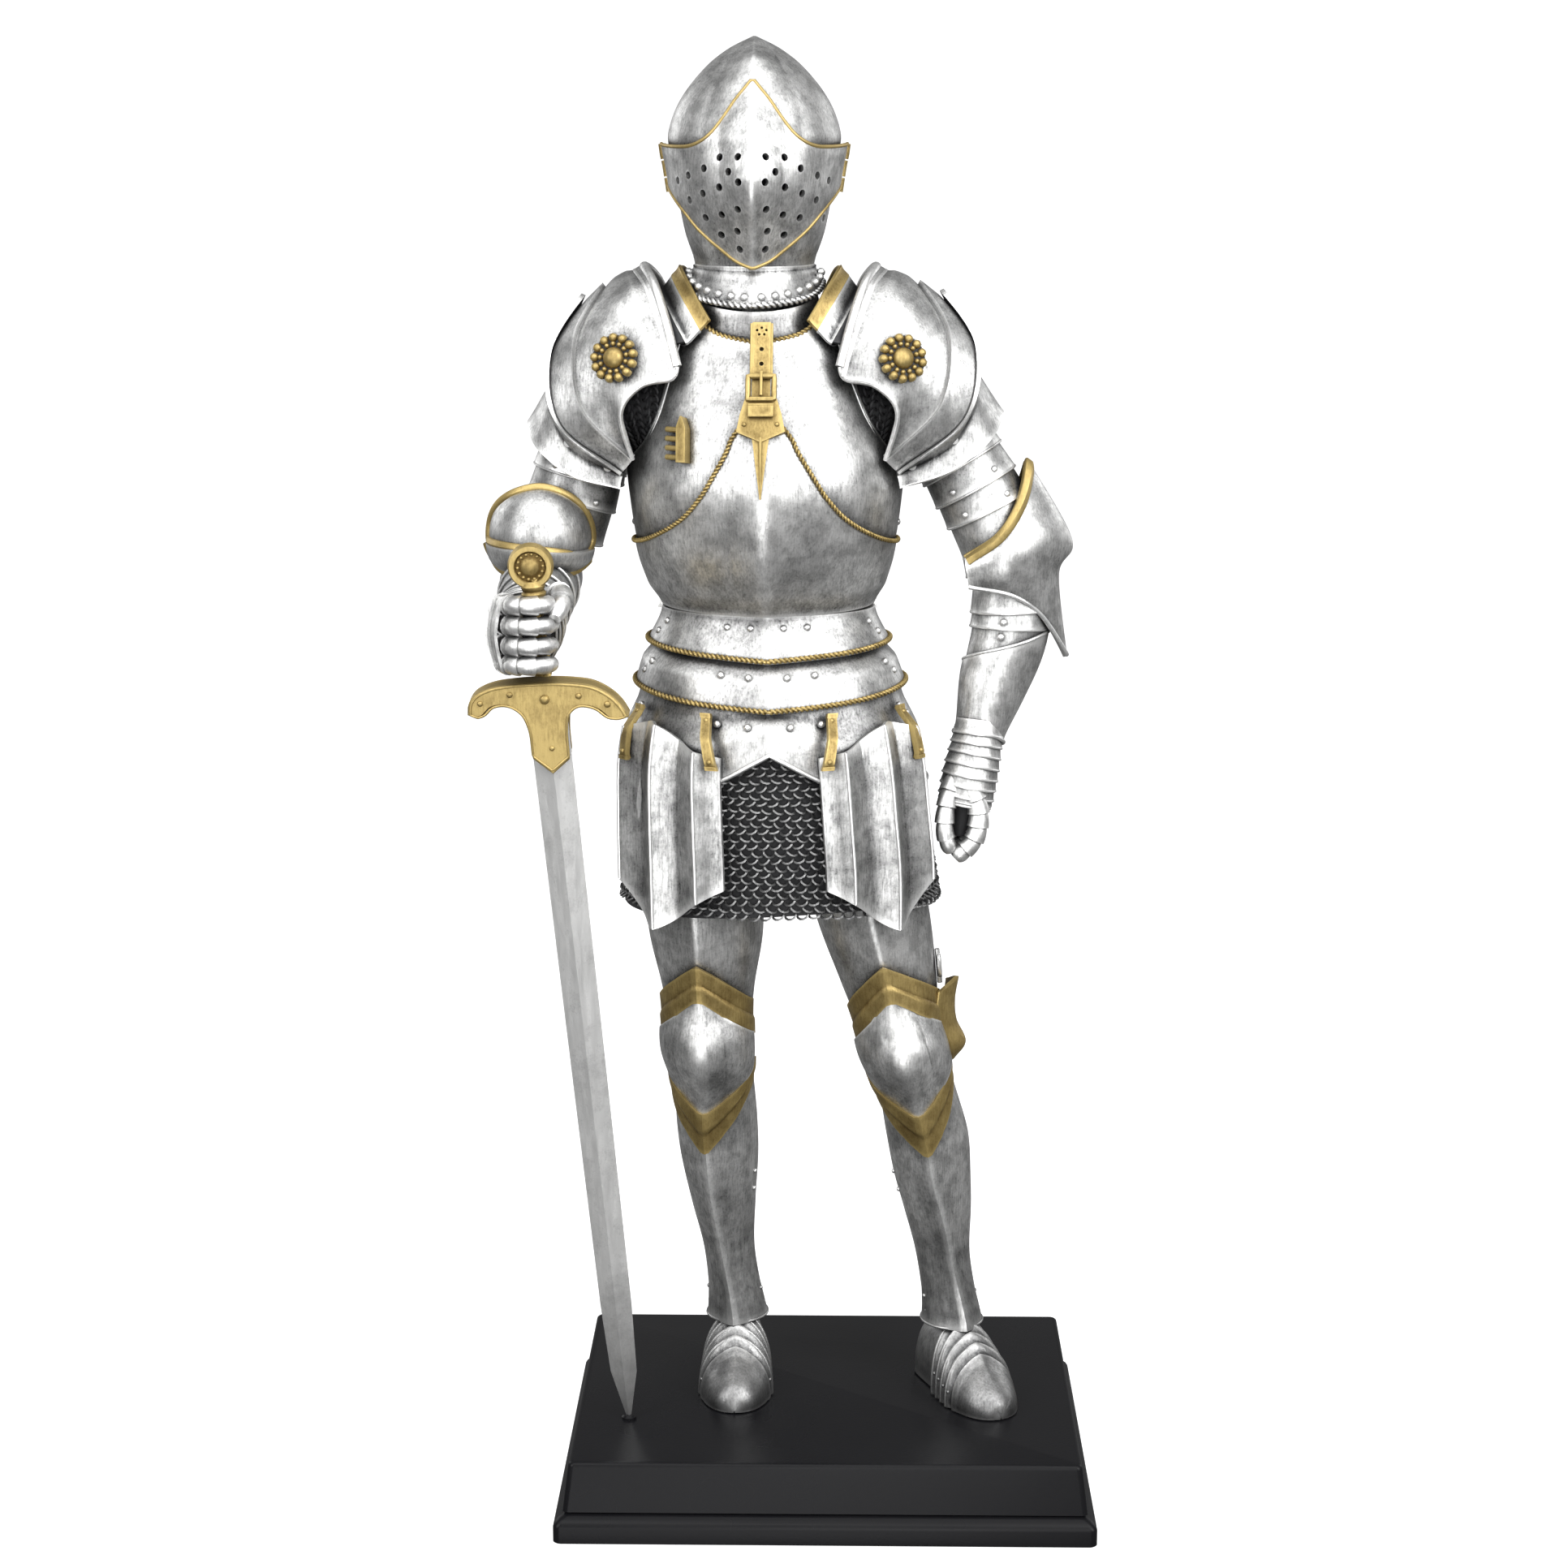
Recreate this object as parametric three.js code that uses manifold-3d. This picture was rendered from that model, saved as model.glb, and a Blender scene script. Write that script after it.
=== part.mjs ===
// A suit of plate armour, 330 mm high with its plinth, made as an empty suit of thin shells.
// Millimetres, +Z up, the front towards -Y. The origin is the middle of the plinth's underside.
// "right" and "left" are the wearer's: the right arm is on the -X side and rests on the sword.
import * as THREE from "three";
import Module from "manifold-3d";

const wasm = await Module();
wasm.setup();

// ---------- driving dimensions ----------
const WALL = 1.0; // thickness of every plate
const GAP = 0.3; // clearance between neighbouring pieces
const PLINTH = { top: 18, step: 6.5, width: 115, depth: 92, flare: 1.5, border: 2 };
const MIDDLE_X = -15.2; // the collar and shoulders are mirrored about this line

const silver = new THREE.MeshStandardMaterial({ color: 0xa6a8ab, roughness: 0.42, metalness: 0.9 });
const gold = new THREE.MeshStandardMaterial({ color: 0xb8953f, roughness: 0.45, metalness: 0.85 });
const mail = new THREE.MeshStandardMaterial({ color: 0x55565a, roughness: 0.5, metalness: 0.85 });
const black = new THREE.MeshStandardMaterial({ color: 0x202123, roughness: 0.55, metalness: 0 });

const suit = new THREE.Group();

// ---------- small tools ----------
const rad = (degrees) => (degrees * Math.PI) / 180;
const mix = (a, b, t) => a + (b - a) * t;
const vec = (x, y, z) => new THREE.Vector3(x, y, z);

// A short table read by its first column: table(...)(key) gives every named column there,
// eased between the rows and held past the ends.
function table(columns, rows) {
  const names = columns.split(" ");
  const sorted = [...rows].sort((p, q) => p[0] - q[0]);
  const last = sorted.length - 1;
  const slope = (i, c) => {
    const [lo, hi] = [Math.max(i - 1, 0), Math.min(i + 1, last)];
    return (sorted[hi][c] - sorted[lo][c]) / (sorted[hi][0] - sorted[lo][0]);
  };
  return (key) => {
    const k = Math.min(Math.max(key, sorted[0][0]), sorted[last][0]);
    let i = 0;
    while (i < last - 1 && sorted[i + 1][0] < k) i++;
    const span = sorted[i + 1][0] - sorted[i][0];
    const t = (k - sorted[i][0]) / span;
    const h = [2 * t ** 3 - 3 * t ** 2 + 1, t ** 3 - 2 * t ** 2 + t, 3 * t ** 2 - 2 * t ** 3, t ** 3 - t ** 2];
    const found = {};
    names.forEach((name, c) => {
      const [a, b] = [sorted[i][c], sorted[i + 1][c]];
      found[name] = h[0] * a + h[1] * span * slope(i, c) + h[2] * b + h[3] * span * slope(i + 1, c);
    });
    return found;
  };
}

// A form of level rings. Its surface takes an angle round the ring, 0 at the front and 90 at +X,
// and a height. keel raises a crest down the front, over the given half width in degrees.
const KEEL_SPREAD = 24;
function ringForm(rows, keel = 0) {
  return (angle, z) => {
    const r = rows(z);
    const [s, c] = [Math.sin(rad(angle)), Math.cos(rad(angle))];
    const crest = keel * Math.max(0, 1 - away(angle) / KEEL_SPREAD) ** 1.5;
    const [across, ahead] = [r.half * s, (c > 0 ? r.front : r.back) * c + crest];
    const turn = rad(r.turn ?? 0);
    return vec(
      r.x + across * Math.cos(turn) + ahead * Math.sin(turn),
      r.y + across * Math.sin(turn) - ahead * Math.cos(turn),
      z,
    );
  };
}

// A form of rings set square to a path. The table gives the path's centre and the ring's two radii.
// Angle 0 faces the given front, and the second variable is the table's key.
function limbForm(rows, front) {
  const centre = (k) => {
    const r = rows(k);
    return vec(r.x, r.y, r.z);
  };
  return (angle, k) => {
    const r = rows(k);
    const along = centre(k + 0.01).sub(centre(k - 0.01)).normalize();
    const side = along.clone().cross(front).normalize();
    const face = side.clone().cross(along).normalize();
    return centre(k)
      .addScaledVector(side, r.wide * Math.sin(rad(angle)))
      .addScaledVector(face, r.deep * Math.cos(rad(angle)));
  };
}

// A smooth surface across rails. Each rail is a list of points; u runs along a rail and v across them.
function railForm(rails) {
  const curves = rails.map((points) => {
    const curve = new THREE.CatmullRomCurve3(points.map((p) => vec(...p)), false, "centripetal");
    curve.arcLengthDivisions = 60;
    return curve;
  });
  const along = (curve, u) => {
    const t = Math.min(Math.max(u, 0), 1);
    const past = u - t;
    return curve.getPointAt(t).addScaledVector(curve.getTangentAt(t), past * curve.getLength());
  };
  return (u, v) => {
    const place = v * (curves.length - 1);
    const i = Math.min(Math.max(Math.floor(place), 0), curves.length - 2);
    const t = place - i;
    const at = (k) => along(curves[Math.min(Math.max(k, 0), curves.length - 1)], u);
    const [p0, p1, p2, p3] = [at(i - 1), at(i), at(i + 1), at(i + 2)];
    const [m1, m2] = [p2.clone().sub(p0).multiplyScalar(0.5), p3.clone().sub(p1).multiplyScalar(0.5)];
    return p1.multiplyScalar(2 * t ** 3 - 3 * t ** 2 + 1)
      .addScaledVector(m1, t ** 3 - 2 * t ** 2 + t)
      .addScaledVector(p2, 3 * t ** 2 - 2 * t ** 3)
      .addScaledVector(m2, t ** 3 - t ** 2);
  };
}

// The surface's point at (u, v), moved out along its normal.
function lifted(surface, u, v, out, stepU, stepV) {
  const du = surface(u + stepU, v).sub(surface(u - stepU, v));
  const dv = surface(u, v + stepV).sub(surface(u, v - stepV));
  return surface(u, v).addScaledVector(du.cross(dv).normalize(), out);
}

// Joins triangles of points into one geometry, merging equal points and dropping collapsed faces.
function geometryOf(triangles) {
  const [places, position, index] = [new Map(), [], []];
  const id = (p) => {
    const key = [p.x, p.y, p.z].map((v) => Math.round(v * 2000)).join();
    if (!places.has(key)) {
      places.set(key, position.length / 3);
      position.push(p.x, p.y, p.z);
    }
    return places.get(key);
  };
  for (const t of triangles) {
    const [a, b, c] = t.map(id);
    if (a !== b && b !== c && c !== a) index.push(a, b, c);
  }
  const geometry = new THREE.BufferGeometry();
  geometry.setAttribute("position", new THREE.Float32BufferAttribute(position, 3));
  geometry.setIndex(index);
  return geometry;
}

// A closed wall between an outer and an inner grid of points, rows first.
function wallGeometry(outer, inner, round) {
  const [rows, columns] = [outer.length - 1, outer[0].length - 1];
  const triangles = [];
  const quad = (a, b, c, d) => triangles.push([a, b, c], [a, c, d]);
  for (let j = 0; j < rows; j++)
    for (let i = 0; i < columns; i++) {
      quad(outer[j][i], outer[j][i + 1], outer[j + 1][i + 1], outer[j + 1][i]);
      quad(inner[j][i + 1], inner[j][i], inner[j + 1][i], inner[j + 1][i + 1]);
    }
  for (let i = 0; i < columns; i++) {
    quad(inner[0][i], inner[0][i + 1], outer[0][i + 1], outer[0][i]);
    quad(outer[rows][i], outer[rows][i + 1], inner[rows][i + 1], inner[rows][i]);
  }
  for (let j = 0; j < rows && !round; j++) {
    quad(inner[j][0], outer[j][0], outer[j + 1][0], inner[j + 1][0]);
    quad(outer[j][columns], inner[j][columns], inner[j + 1][columns], outer[j + 1][columns]);
  }
  return geometryOf(triangles);
}

// A plate on a form, between its low and high edges, each a height or a height by angle.
// columns are the places across it, and rows are [fraction from low to high, lift of the outer face].
function plate(surface, { columns, low, high, rows, wall = WALL, swell = () => 0, step = 0.5 }) {
  const at = (e, u) => (typeof e === "function" ? e(u) : e);
  const round = Math.abs(columns.at(-1) - columns[0]) === 360;
  const grid = (depth) =>
    rows.map(([t, lift]) =>
      columns.map((column) => {
        const u = column === 360 ? 0 : column;
        const v = mix(at(low, u), at(high, u), t);
        return lifted(surface, u, v, lift + swell(u, v) - depth, step, step);
      }),
    );
  return wallGeometry(grid(0), grid(wall), round);
}

const even = (from, to, count) => Array.from({ length: count + 1 }, (_, i) => mix(from, to, i / count));
const around = (count) => even(0, 360, count);
const away = (angle) => Math.abs(((angle + 540) % 360) - 180);

const solidOf = (geometry) =>
  new wasm.Manifold(
    new wasm.Mesh({
      numProp: 3,
      vertProperties: new Float32Array(geometry.attributes.position.array),
      triVerts: new Uint32Array(geometry.index.array),
    }),
  );

function geometryFrom(solid) {
  const mesh = solid.getMesh();
  const geometry = new THREE.BufferGeometry();
  geometry.setAttribute("position", new THREE.BufferAttribute(mesh.vertProperties, 3));
  geometry.setIndex(new THREE.BufferAttribute(mesh.triVerts, 1));
  return geometry;
}

const joined = (geometries) => geometryFrom(geometries.map(solidOf).reduce((a, b) => a.add(b)));
const cut = (geometry, tools) =>
  geometryFrom(tools.map(solidOf).reduce((left, tool) => left.subtract(tool), solidOf(geometry)));

// The largest body left by a cut.
const largest = (geometry) => geometryFrom(
  solidOf(geometry).decompose().reduce((best, body) => (body.volume() > best.volume() ? body : best)),
);

function node(name, geometry, material) {
  const mesh = new THREE.Mesh(geometry, material);
  mesh.name = name;
  suit.add(mesh);
}

// A geometry with its equal points shared.
function merged(geometry) {
  const [place, faces] = [geometry.attributes.position, []];
  const count = geometry.index ? geometry.index.count : place.count;
  const corner = (i) => (geometry.index ? geometry.index.getX(i) : i);
  const at = (i) => new THREE.Vector3().fromBufferAttribute(place, corner(i));
  for (let i = 0; i < count; i += 3) faces.push([at(i), at(i + 1), at(i + 2)]);
  return geometryOf(faces);
}

// A closed skin over rings of equal size, flat at both ends.
function lofted(rings) {
  const [faces, last] = [[], rings.length - 1];
  const size = rings[0].length;
  for (let j = 0; j < last; j++)
    for (let i = 0; i < size; i++) {
      const k = (i + 1) % size;
      faces.push([rings[j][i], rings[j][k], rings[j + 1][k]], [rings[j][i], rings[j + 1][k], rings[j + 1][i]]);
    }
  for (let i = 1; i < size - 1; i++) {
    faces.push([rings[0][0], rings[0][i + 1], rings[0][i]]);
    faces.push([rings[last][0], rings[last][i], rings[last][i + 1]]);
  }
  return geometryOf(faces);
}

// A bar along points with a ring of sides, closed at both ends. radius takes 0..1 along the bar.
function bar(points, radius, sides, steps, flatness = 1, up = vec(0, 0, 1)) {
  const curve = new THREE.CatmullRomCurve3(points.map((p) => vec(...p)), false, "centripetal");
  const rings = even(0, 1, steps).map((t) => {
    const [centre, along] = [curve.getPoint(t), curve.getTangent(t)];
    const side = up.clone().cross(along).normalize();
    const face = along.clone().cross(side).normalize();
    return even(0, 2 * Math.PI, sides).slice(0, -1).map((a) => centre.clone()
      .addScaledVector(side, radius(t) * Math.cos(a))
      .addScaledVector(face, radius(t) * flatness * Math.sin(a)));
  });
  return lofted(rings);
}

// ---------- plinth ----------
function frustum(bottom, top, low, high) {
  const corners = ([w, d], z) => [vec(-w, -d, z), vec(w, -d, z), vec(w, d, z), vec(-w, d, z)];
  const [a, b] = [corners(bottom, low), corners(top, high)];
  const triangles = [[a[0], a[2], a[1]], [a[0], a[3], a[2]], [b[0], b[1], b[2]], [b[0], b[2], b[3]]];
  for (let i = 0; i < 4; i++) {
    const k = (i + 1) % 4;
    triangles.push([a[i], a[k], b[k]], [a[i], b[k], b[i]]);
  }
  return geometryOf(triangles);
}
{
  const [w, d] = [PLINTH.width / 2, PLINTH.depth / 2];
  const foot = PLINTH.flare + PLINTH.border;
  const shoulder = PLINTH.step * 0.55;
  node("plinth_moulding", joined([
    frustum([w + foot, d + foot], [w + foot, d + foot], 0, shoulder),
    frustum([w + foot, d + foot], [w + PLINTH.flare + 0.8, d + PLINTH.flare + 0.8], shoulder, PLINTH.step),
  ]), black);
  const flared = [w + PLINTH.flare, d + PLINTH.flare];
  node("plinth_block", frustum(flared, [w, d], PLINTH.step + GAP, PLINTH.top), black);
}

// ---------- helmet ----------
const HELM_X = -16.4;
const helmForm = ringForm(table("z x y half front back", [
  [271, HELM_X, -0.5, 14.6, 15, 14.8],
  [274, HELM_X, -0.2, 13.6, 14, 14.2],
  [281, HELM_X, 0, 13.2, 13.6, 14.6],
  [288, HELM_X, 0, 15.4, 15.6, 16.4],
  [296, HELM_X, 0, 17, 17.6, 18.8],
  [303, HELM_X, 0, 18.1, 18, 20.2],
  [306, HELM_X, 0, 18.7, 17.6, 20.3],
  [310, HELM_X, 0, 18.9, 17, 20.2],
  [317, HELM_X, 0.6, 16.2, 14.4, 17.6],
  [324, HELM_X, 1.4, 10.6, 10, 12.2],
  [328, HELM_X, 1.8, 5.4, 5.4, 6.4],
  [330.5, HELM_X, 2, 0.3, 0.3, 0.3],
]), 0.8);
const visorTop = table("angle z", [
  [0, 320.2], [11, 316.3], [18, 312.8], [25, 309.8], [35, 307.8], [47, 307], [88, 307.6],
]);
const visorFoot = table("angle z", [
  [0, 281.4], [13, 283], [25, 285.5], [42, 289.4], [56, 293.2], [72, 296.6], [88, 298.8],
]);
// The visor stands off the helmet and runs out to a keel at the level of its breaths.
const VISOR = { lift: 1.6, reach: 3.4, level: 300, spread: 10, keel: 1.3, keelWidth: 22, end: 87 };
const visorForm = (angle, z) => {
  const swell = VISOR.reach * Math.exp(-(((z - VISOR.level) / VISOR.spread) ** 2));
  const keel = VISOR.keel * Math.max(0, 1 - Math.abs(angle) / VISOR.keelWidth);
  const point = lifted(helmForm, angle, z, VISOR.lift, 0.5, 0.5);
  return point.add(vec(0, -swell * Math.max(0, Math.cos(rad(angle))) ** 3 - keel, 0));
};
// Breaths, a row for each pair: angle from the keel, and height.
const BREATHS = [
  [8, 304.7], [20, 304.6], [32, 302.5], [46, 301], [58.5, 299.9], [14.5, 301.8], [8, 299.7], [21.5, 298.6],
  [34.5, 297.3], [47.5, 295.9], [9, 294.2], [21, 293], [34.5, 292.3], [10, 289.6], [23, 288.7], [9, 285.8],
];
const BREATH_R = 0.75;
const faceRim = (angle) => (away(angle) < 93 ? 304.5 + 4.5 * Math.max(0, Math.cos(rad(angle))) ** 3 : 280.3);
const skullColumns = [0, 20, 45, 70, 91, 94, 115, 138, 160, 180];
node("helmet_skull", plate(helmForm, {
  columns: [...skullColumns, ...skullColumns.slice(0, -1).reverse().map((a) => 360 - a)],
  low: faceRim, high: 330.5, rows: [[0, 0], [0.3, 0], [0.55, 0], [0.76, 0], [0.9, 0], [1, 0]],
}), silver);
{
  const visor = plate(visorForm, {
    columns: even(-VISOR.end, VISOR.end, 16),
    low: (a) => visorFoot(Math.abs(a)).z, high: (a) => visorTop(Math.abs(a)).z,
    rows: even(0, 1, 5).map((t) => [t, 0]),
  });
  const drills = [-1, 1].flatMap((side) => BREATHS.map(([angle, z]) => {
    const ends = [-2.2, 1.2].map((out) => lifted(visorForm, side * angle, z, out, 0.5, 0.5).toArray());
    return bar(ends, () => BREATH_R, 4, 1, 1, vec(0.1, 0.2, 1));
  }));
  node("helmet_visor", cut(visor, drills), silver);
}
node("helmet_bevor", plate(helmForm, {
  columns: even(-90, 90, 12), low: 280.3, high: (a) => visorFoot(Math.abs(a)).z + 2,
  rows: [[0, 0], [0.5, 0], [1, 0]],
}), silver);
node("helmet_collar", plate(helmForm, {
  columns: around(20), low: (a) => 273 - Math.cos(rad(a)), high: 280, rows: [[0, 0], [0.4, 0], [1, 0]],
}), silver);
const HINGE_LIFT = VISOR.lift + GAP + WALL;
for (const [name, side] of [["right", -1], ["left", 1]])
  node("visor_hinge_" + name, plate(helmForm, {
    columns: even(side * 90 - 4, side * 90 + 4, 2), low: 297.5, high: 307.5,
    rows: [[0, HINGE_LIFT], [1, HINGE_LIFT]],
  }), gold);

// ---------- body ----------
const torso = table("z x y half front back", [
  [130, -11.2, 0, 35.8, 26.5, 25.5],
  [148, -11.4, 0, 35.8, 27.6, 26],
  [160, -12, 0, 35.2, 27.8, 26],
  [173, -12.6, 0, 34.2, 27, 25],
  [186, -12.9, 0, 31.2, 24.4, 22],
  [197, -13.3, 0, 27.6, 21, 18.4],
  [205.5, -13.4, 0, 24, 17.6, 15.2],
  [212, -13.7, 0, 26.6, 20.8, 16.8],
  [220, -13.9, 0, 29, 24, 18.4],
  [231, -14, 0, 30.2, 26, 19.6],
  [241, -14.2, 0, 28.8, 25, 20],
  [250, -14.6, 0, 26.4, 22, 19.5],
  [258, -15, 0, 24.6, 18.4, 18],
  [266, -15.2, 0, 22.8, 14.6, 15.5],
  [274, -15.2, 0, 20, 11, 12.6],
]);
const torsoForm = ringForm(torso, 1.2);
const neckline = table("angle z", [
  [0, 265], [22, 266.6], [38, 269], [48, 267], [53, 259], [58, 251], [67, 243], [88, 237.5],
]);
const front = {
  columns: even(-88, 88, 20), low: 208.5, high: (a) => neckline(Math.abs(a)).z,
  rows: [[0, 0], [0.2, 0], [0.42, 0], [0.62, 0], [0.82, 0], [1, 0]],
};
const back = {
  ...front, columns: even(92, 268, 16), low: 205.8, high: (a) => neckline(Math.abs(a - 180)).z + 1,
};
node("breastplate", plate(torsoForm, front), silver);
node("backplate", plate(torsoForm, back), silver);
const plackartTop = table("angle z", [
  [0, 251], [11, 245], [17, 239.4], [25, 232.6], [35, 227.4], [52, 223.2], [70, 221.2], [88, 220.8],
]);
node("plackart", plate(torsoForm, {
  columns: front.columns, low: (a) => 205.6 + 1.6 * (1 - Math.cos(rad(a))),
  high: (a) => plackartTop(Math.abs(a)).z, rows: [[0, 1.6], [0.3, 2.1], [0.65, 2.1], [1, 1.9]],
}), silver);

// Gorget: a plain neck plate inside the breastplate's neckline.
node("gorget", plate(ringForm(table("z x y half front back", [
  [260, -15.8, 0, 18.6, 12.6, 13.6], [266, -16, 0, 17, 12.8, 13.4], [272, -16.2, 0, 14.8, 13.6, 13.6],
])), { columns: around(16), low: 260, high: 271.4, rows: [[0, 0], [0.5, 0], [1, 0]] }), silver);

// Strap with its buckle, chape and long arrow, a row for each change of width.
const STRAP = [
  [233.3, 0.3], [244.4, 1.5], [244.6, 3], [246, 4.9], [253, 3.5], [258.2, 3.5], [258.5, 2.1], [269.2, 2.1],
];
function strapGeometry(surface, centre, stations, lift, wall) {
  const at = (z, x, out) => {
    const r = torso(z);
    return lifted(surface, (Math.asin((x - r.x) / r.half) * 180) / Math.PI, z, out, 0.5, 0.5);
  };
  const grid = (out) => stations.map(([z, half]) => [-1, 0, 1].map((side) => at(z, centre + side * half, out)));
  return wallGeometry(grid(lift), grid(lift - wall), false);
}
node("chest_strap", strapGeometry(torsoForm, -14.5, STRAP, 3.5, 1.1), gold);
const LANCE_REST = [[239.5, 2.2], [246.8, 2.2], [248.9, 0.6]];
node("lance_rest", strapGeometry(torsoForm, -31.9, LANCE_REST, 1.8, 1.4), gold);

// ---------- collar and shoulders ----------
// Rails of the collar's right side, which runs from the breastplate over the shoulder to the backplate.
const mirrored = ([x, y, z]) => [2 * MIDDLE_X - x, y, z];
const COLLAR = [
  [[-26, -13.6, 269.6], [-29.6, -9.5, 275.5], [-32.6, -1, 280.3], [-31.4, 8, 279], [-27.5, 14.5, 270]],
  [[-30.8, -13.8, 264.6], [-34.2, -10, 270.4], [-36.9, -1.5, 275.2], [-35.6, 8, 274], [-31.6, 14.5, 265.5]],
];
// Rails of the right pauldron. Each runs from the front of the armpit over the shoulder, and its back
// half mirrors the front about SHOULDER_Y.
const SHOULDER_Y = 1;
const overShoulder = (points) => [
  ...points,
  ...points.slice(0, -1).reverse().map(([x, y, z]) => [x, 2 * SHOULDER_Y - y, z]),
];
const RAILS = {
  crest: [[-33, -16.5, 260], [-35.2, -14, 268.4], [-38.2, -8.4, 277], [-40.8, SHOULDER_Y, 280.6]],
  neck: [[-34.2, -17, 257.4], [-37, -14.6, 267], [-40.6, -8.4, 276.2], [-43.2, SHOULDER_Y, 279.2]],
  dome: [[-44.6, -17.2, 250.6], [-48.4, -15.4, 261.4], [-49, -10, 271.6], [-47.6, SHOULDER_Y, 277.8]],
  edge: [[-44.6, -14, 239.4], [-54.4, -14.8, 251.4], [-54.6, -9.5, 267.6], [-49.5, SHOULDER_Y, 276.4]],
  second: [[-46.8, -12.8, 236.4], [-59, -13.6, 247.6], [-60.4, -8.4, 263.4], [-54, SHOULDER_Y, 273.4]],
  lip: [[-46.4, -10.5, 232.8], [-56, -12.8, 235.6], [-64.4, -8.4, 241.6], [-67, SHOULDER_Y, 246.6]],
};
// The left shoulder is carried a little wider and higher.
const toLeft = (points) => points.map(([x, y, z]) => {
  const out = Math.max(0, MIDDLE_X - x - 28);
  return [2 * MIDDLE_X - x + 0.09 * out, y, z + 0.1 * out];
});
for (const [name, left] of [["right", false], ["left", true]]) {
  const rail = (key) => (left ? toLeft(overShoulder(RAILS[key])) : overShoulder(RAILS[key]));
  const form = (...keys) => railForm(keys.map(rail));
  const make = (surface, spec) => {
    const flipped = (u, v) => surface(1 - u, v);
    return plate(left ? surface : flipped, { low: 0, high: 1, step: 0.01, ...spec });
  };
  node("pauldron_" + name, make(form("crest", "neck", "dome", "edge"), {
    columns: even(0, 1, 10), rows: [[0, 0], [0.33, 0], [0.66, 0.6], [1, 1.4]],
  }), silver);
  node("pauldron_lame_" + name, make(form("edge", "second"), {
    columns: even(0, 1, 10), rows: [[-0.25, 0], [0.3, 0.4], [1, 1.4]],
  }), silver);
  node("pauldron_lip_" + name, make(form("second", "lip"), {
    columns: even(0, 1, 10), rows: [[-0.12, 0], [0.08, 0], [0.5, 2.2], [1, 0.6]],
  }), silver);
  const collar = COLLAR.map((points) => (left ? points.map(mirrored) : points));
  node("collar_" + name, make(railForm(collar), {
    columns: even(0, 1, 8), rows: [[0, 0], [0.5, 0.5], [1, 0]],
  }), silver);
}
// A rosette: a dome in a ring, turned to face out of the shoulder.
const ROSETTE = { radius: 5.3, dome: 2.2, rim: 1.2 };
function disc(profile, segments, centre, facing) {
  const geometry = new THREE.LatheGeometry(profile.map(([r, h]) => new THREE.Vector2(r, h)), segments);
  geometry.applyQuaternion(new THREE.Quaternion().setFromUnitVectors(vec(0, 1, 0), facing.clone().normalize()));
  geometry.translate(centre.x, centre.y, centre.z);
  return merged(geometry);
}
for (const [name, centre, facing] of [
  ["right", vec(-46.5, -17.6, 261.9), vec(-0.35, -1, 0.3)],
  ["left", vec(16.1, -17.6, 261.9), vec(0.35, -1, 0.3)],
])
  node("rosette_" + name, disc([
    [0, -0.6], [ROSETTE.radius, -0.6], [ROSETTE.radius, 0.4], [4, ROSETTE.rim], [2.4, ROSETTE.rim],
    [1.2, ROSETTE.dome], [0, ROSETTE.dome],
  ], 14, centre, facing), gold);

// ---------- arms ----------
const FRONT = vec(0, -1, 0);
const lames = (count, lap) => even(0, 1, count * 2).map((t, i) => [t, i % 2 ? lap : 0]);
const limb = (rows, front = FRONT) => limbForm(table("k x y z wide deep", rows), front);
// A tube along a limb, between two places on its path; its rows run down the limb.
const tube = (form, from, to, rows, columns = around(14), wall = WALL) =>
  plate(form, { columns, low: from, high: to, rows, wall, step: 0.02 });
const upperArm = {
  right: limb([[0, -54, 1.5, 243, 9.6, 9.4], [1, -56.6, 1.5, 232.5, 9.7, 9.4], [2, -60.4, 1, 220.5, 9, 9]]),
  left: limb([[0, 24.6, 1.5, 246, 9.4, 9.4], [1, 33, 0.5, 232, 9.4, 9], [2, 39.6, 0, 219, 9, 9]]),
};
for (const side of ["right", "left"])
  node("rerebrace_" + side, tube(upperArm[side], 0.15, 1.9, [
    [0, 0], [0.4, 0.8], [0.42, 0], [0.7, 0.8], [0.72, 0], [1, 0.4],
  ]), silver);
for (const [side, path] of [
  ["right", [[0, -34, 1, 250, 11.6, 11.6], [1, -43, 1, 249, 10.6, 11], [2, -51.4, 1.3, 245, 7.6, 7.6]]],
  ["left", [[0, 4, 1, 250, 11.6, 11.6], [1, 13, 1, 249, 10.6, 11], [2, 21.6, 1.3, 246.4, 7.4, 7.4]]],
]) {
  const sleeve = tube(limb(path), 0.1, 1.9, [[0, 0], [0.5, 0], [1, 0]], around(10));
  const trunk = plate(torsoForm, {
    columns: around(20), low: 232, high: 268, rows: [[0, 0.9], [0.5, 0.9], [1, 0.9]], wall: 9,
  });
  const sheath = tube(upperArm[side], 0.08, 1.9, [[0, GAP], [1, 1.2]], around(14), WALL + 2 * GAP + 0.6);
  node("mail_sleeve_" + side, largest(cut(sleeve, [trunk, sheath])), mail);
}

// Right elbow: a dome over the bend, open where the arm goes in and the forearm comes out.
const ELBOW_R = { x: -64.2, y: -4, z: 221.6, half: 10.6, front: 15, back: 11, up: 13.2, down: 10 };
const elbowForm = (angle, tilt) => {
  const [s, c, k] = [Math.sin(rad(angle)), Math.cos(rad(angle)), Math.cos(rad(tilt))];
  const rise = tilt > 0 ? ELBOW_R.up : ELBOW_R.down;
  return vec(
    ELBOW_R.x + ELBOW_R.half * s * k,
    ELBOW_R.y - (c > 0 ? ELBOW_R.front : ELBOW_R.back) * c * k,
    ELBOW_R.z + rise * Math.sin(rad(tilt)),
  );
};
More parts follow.
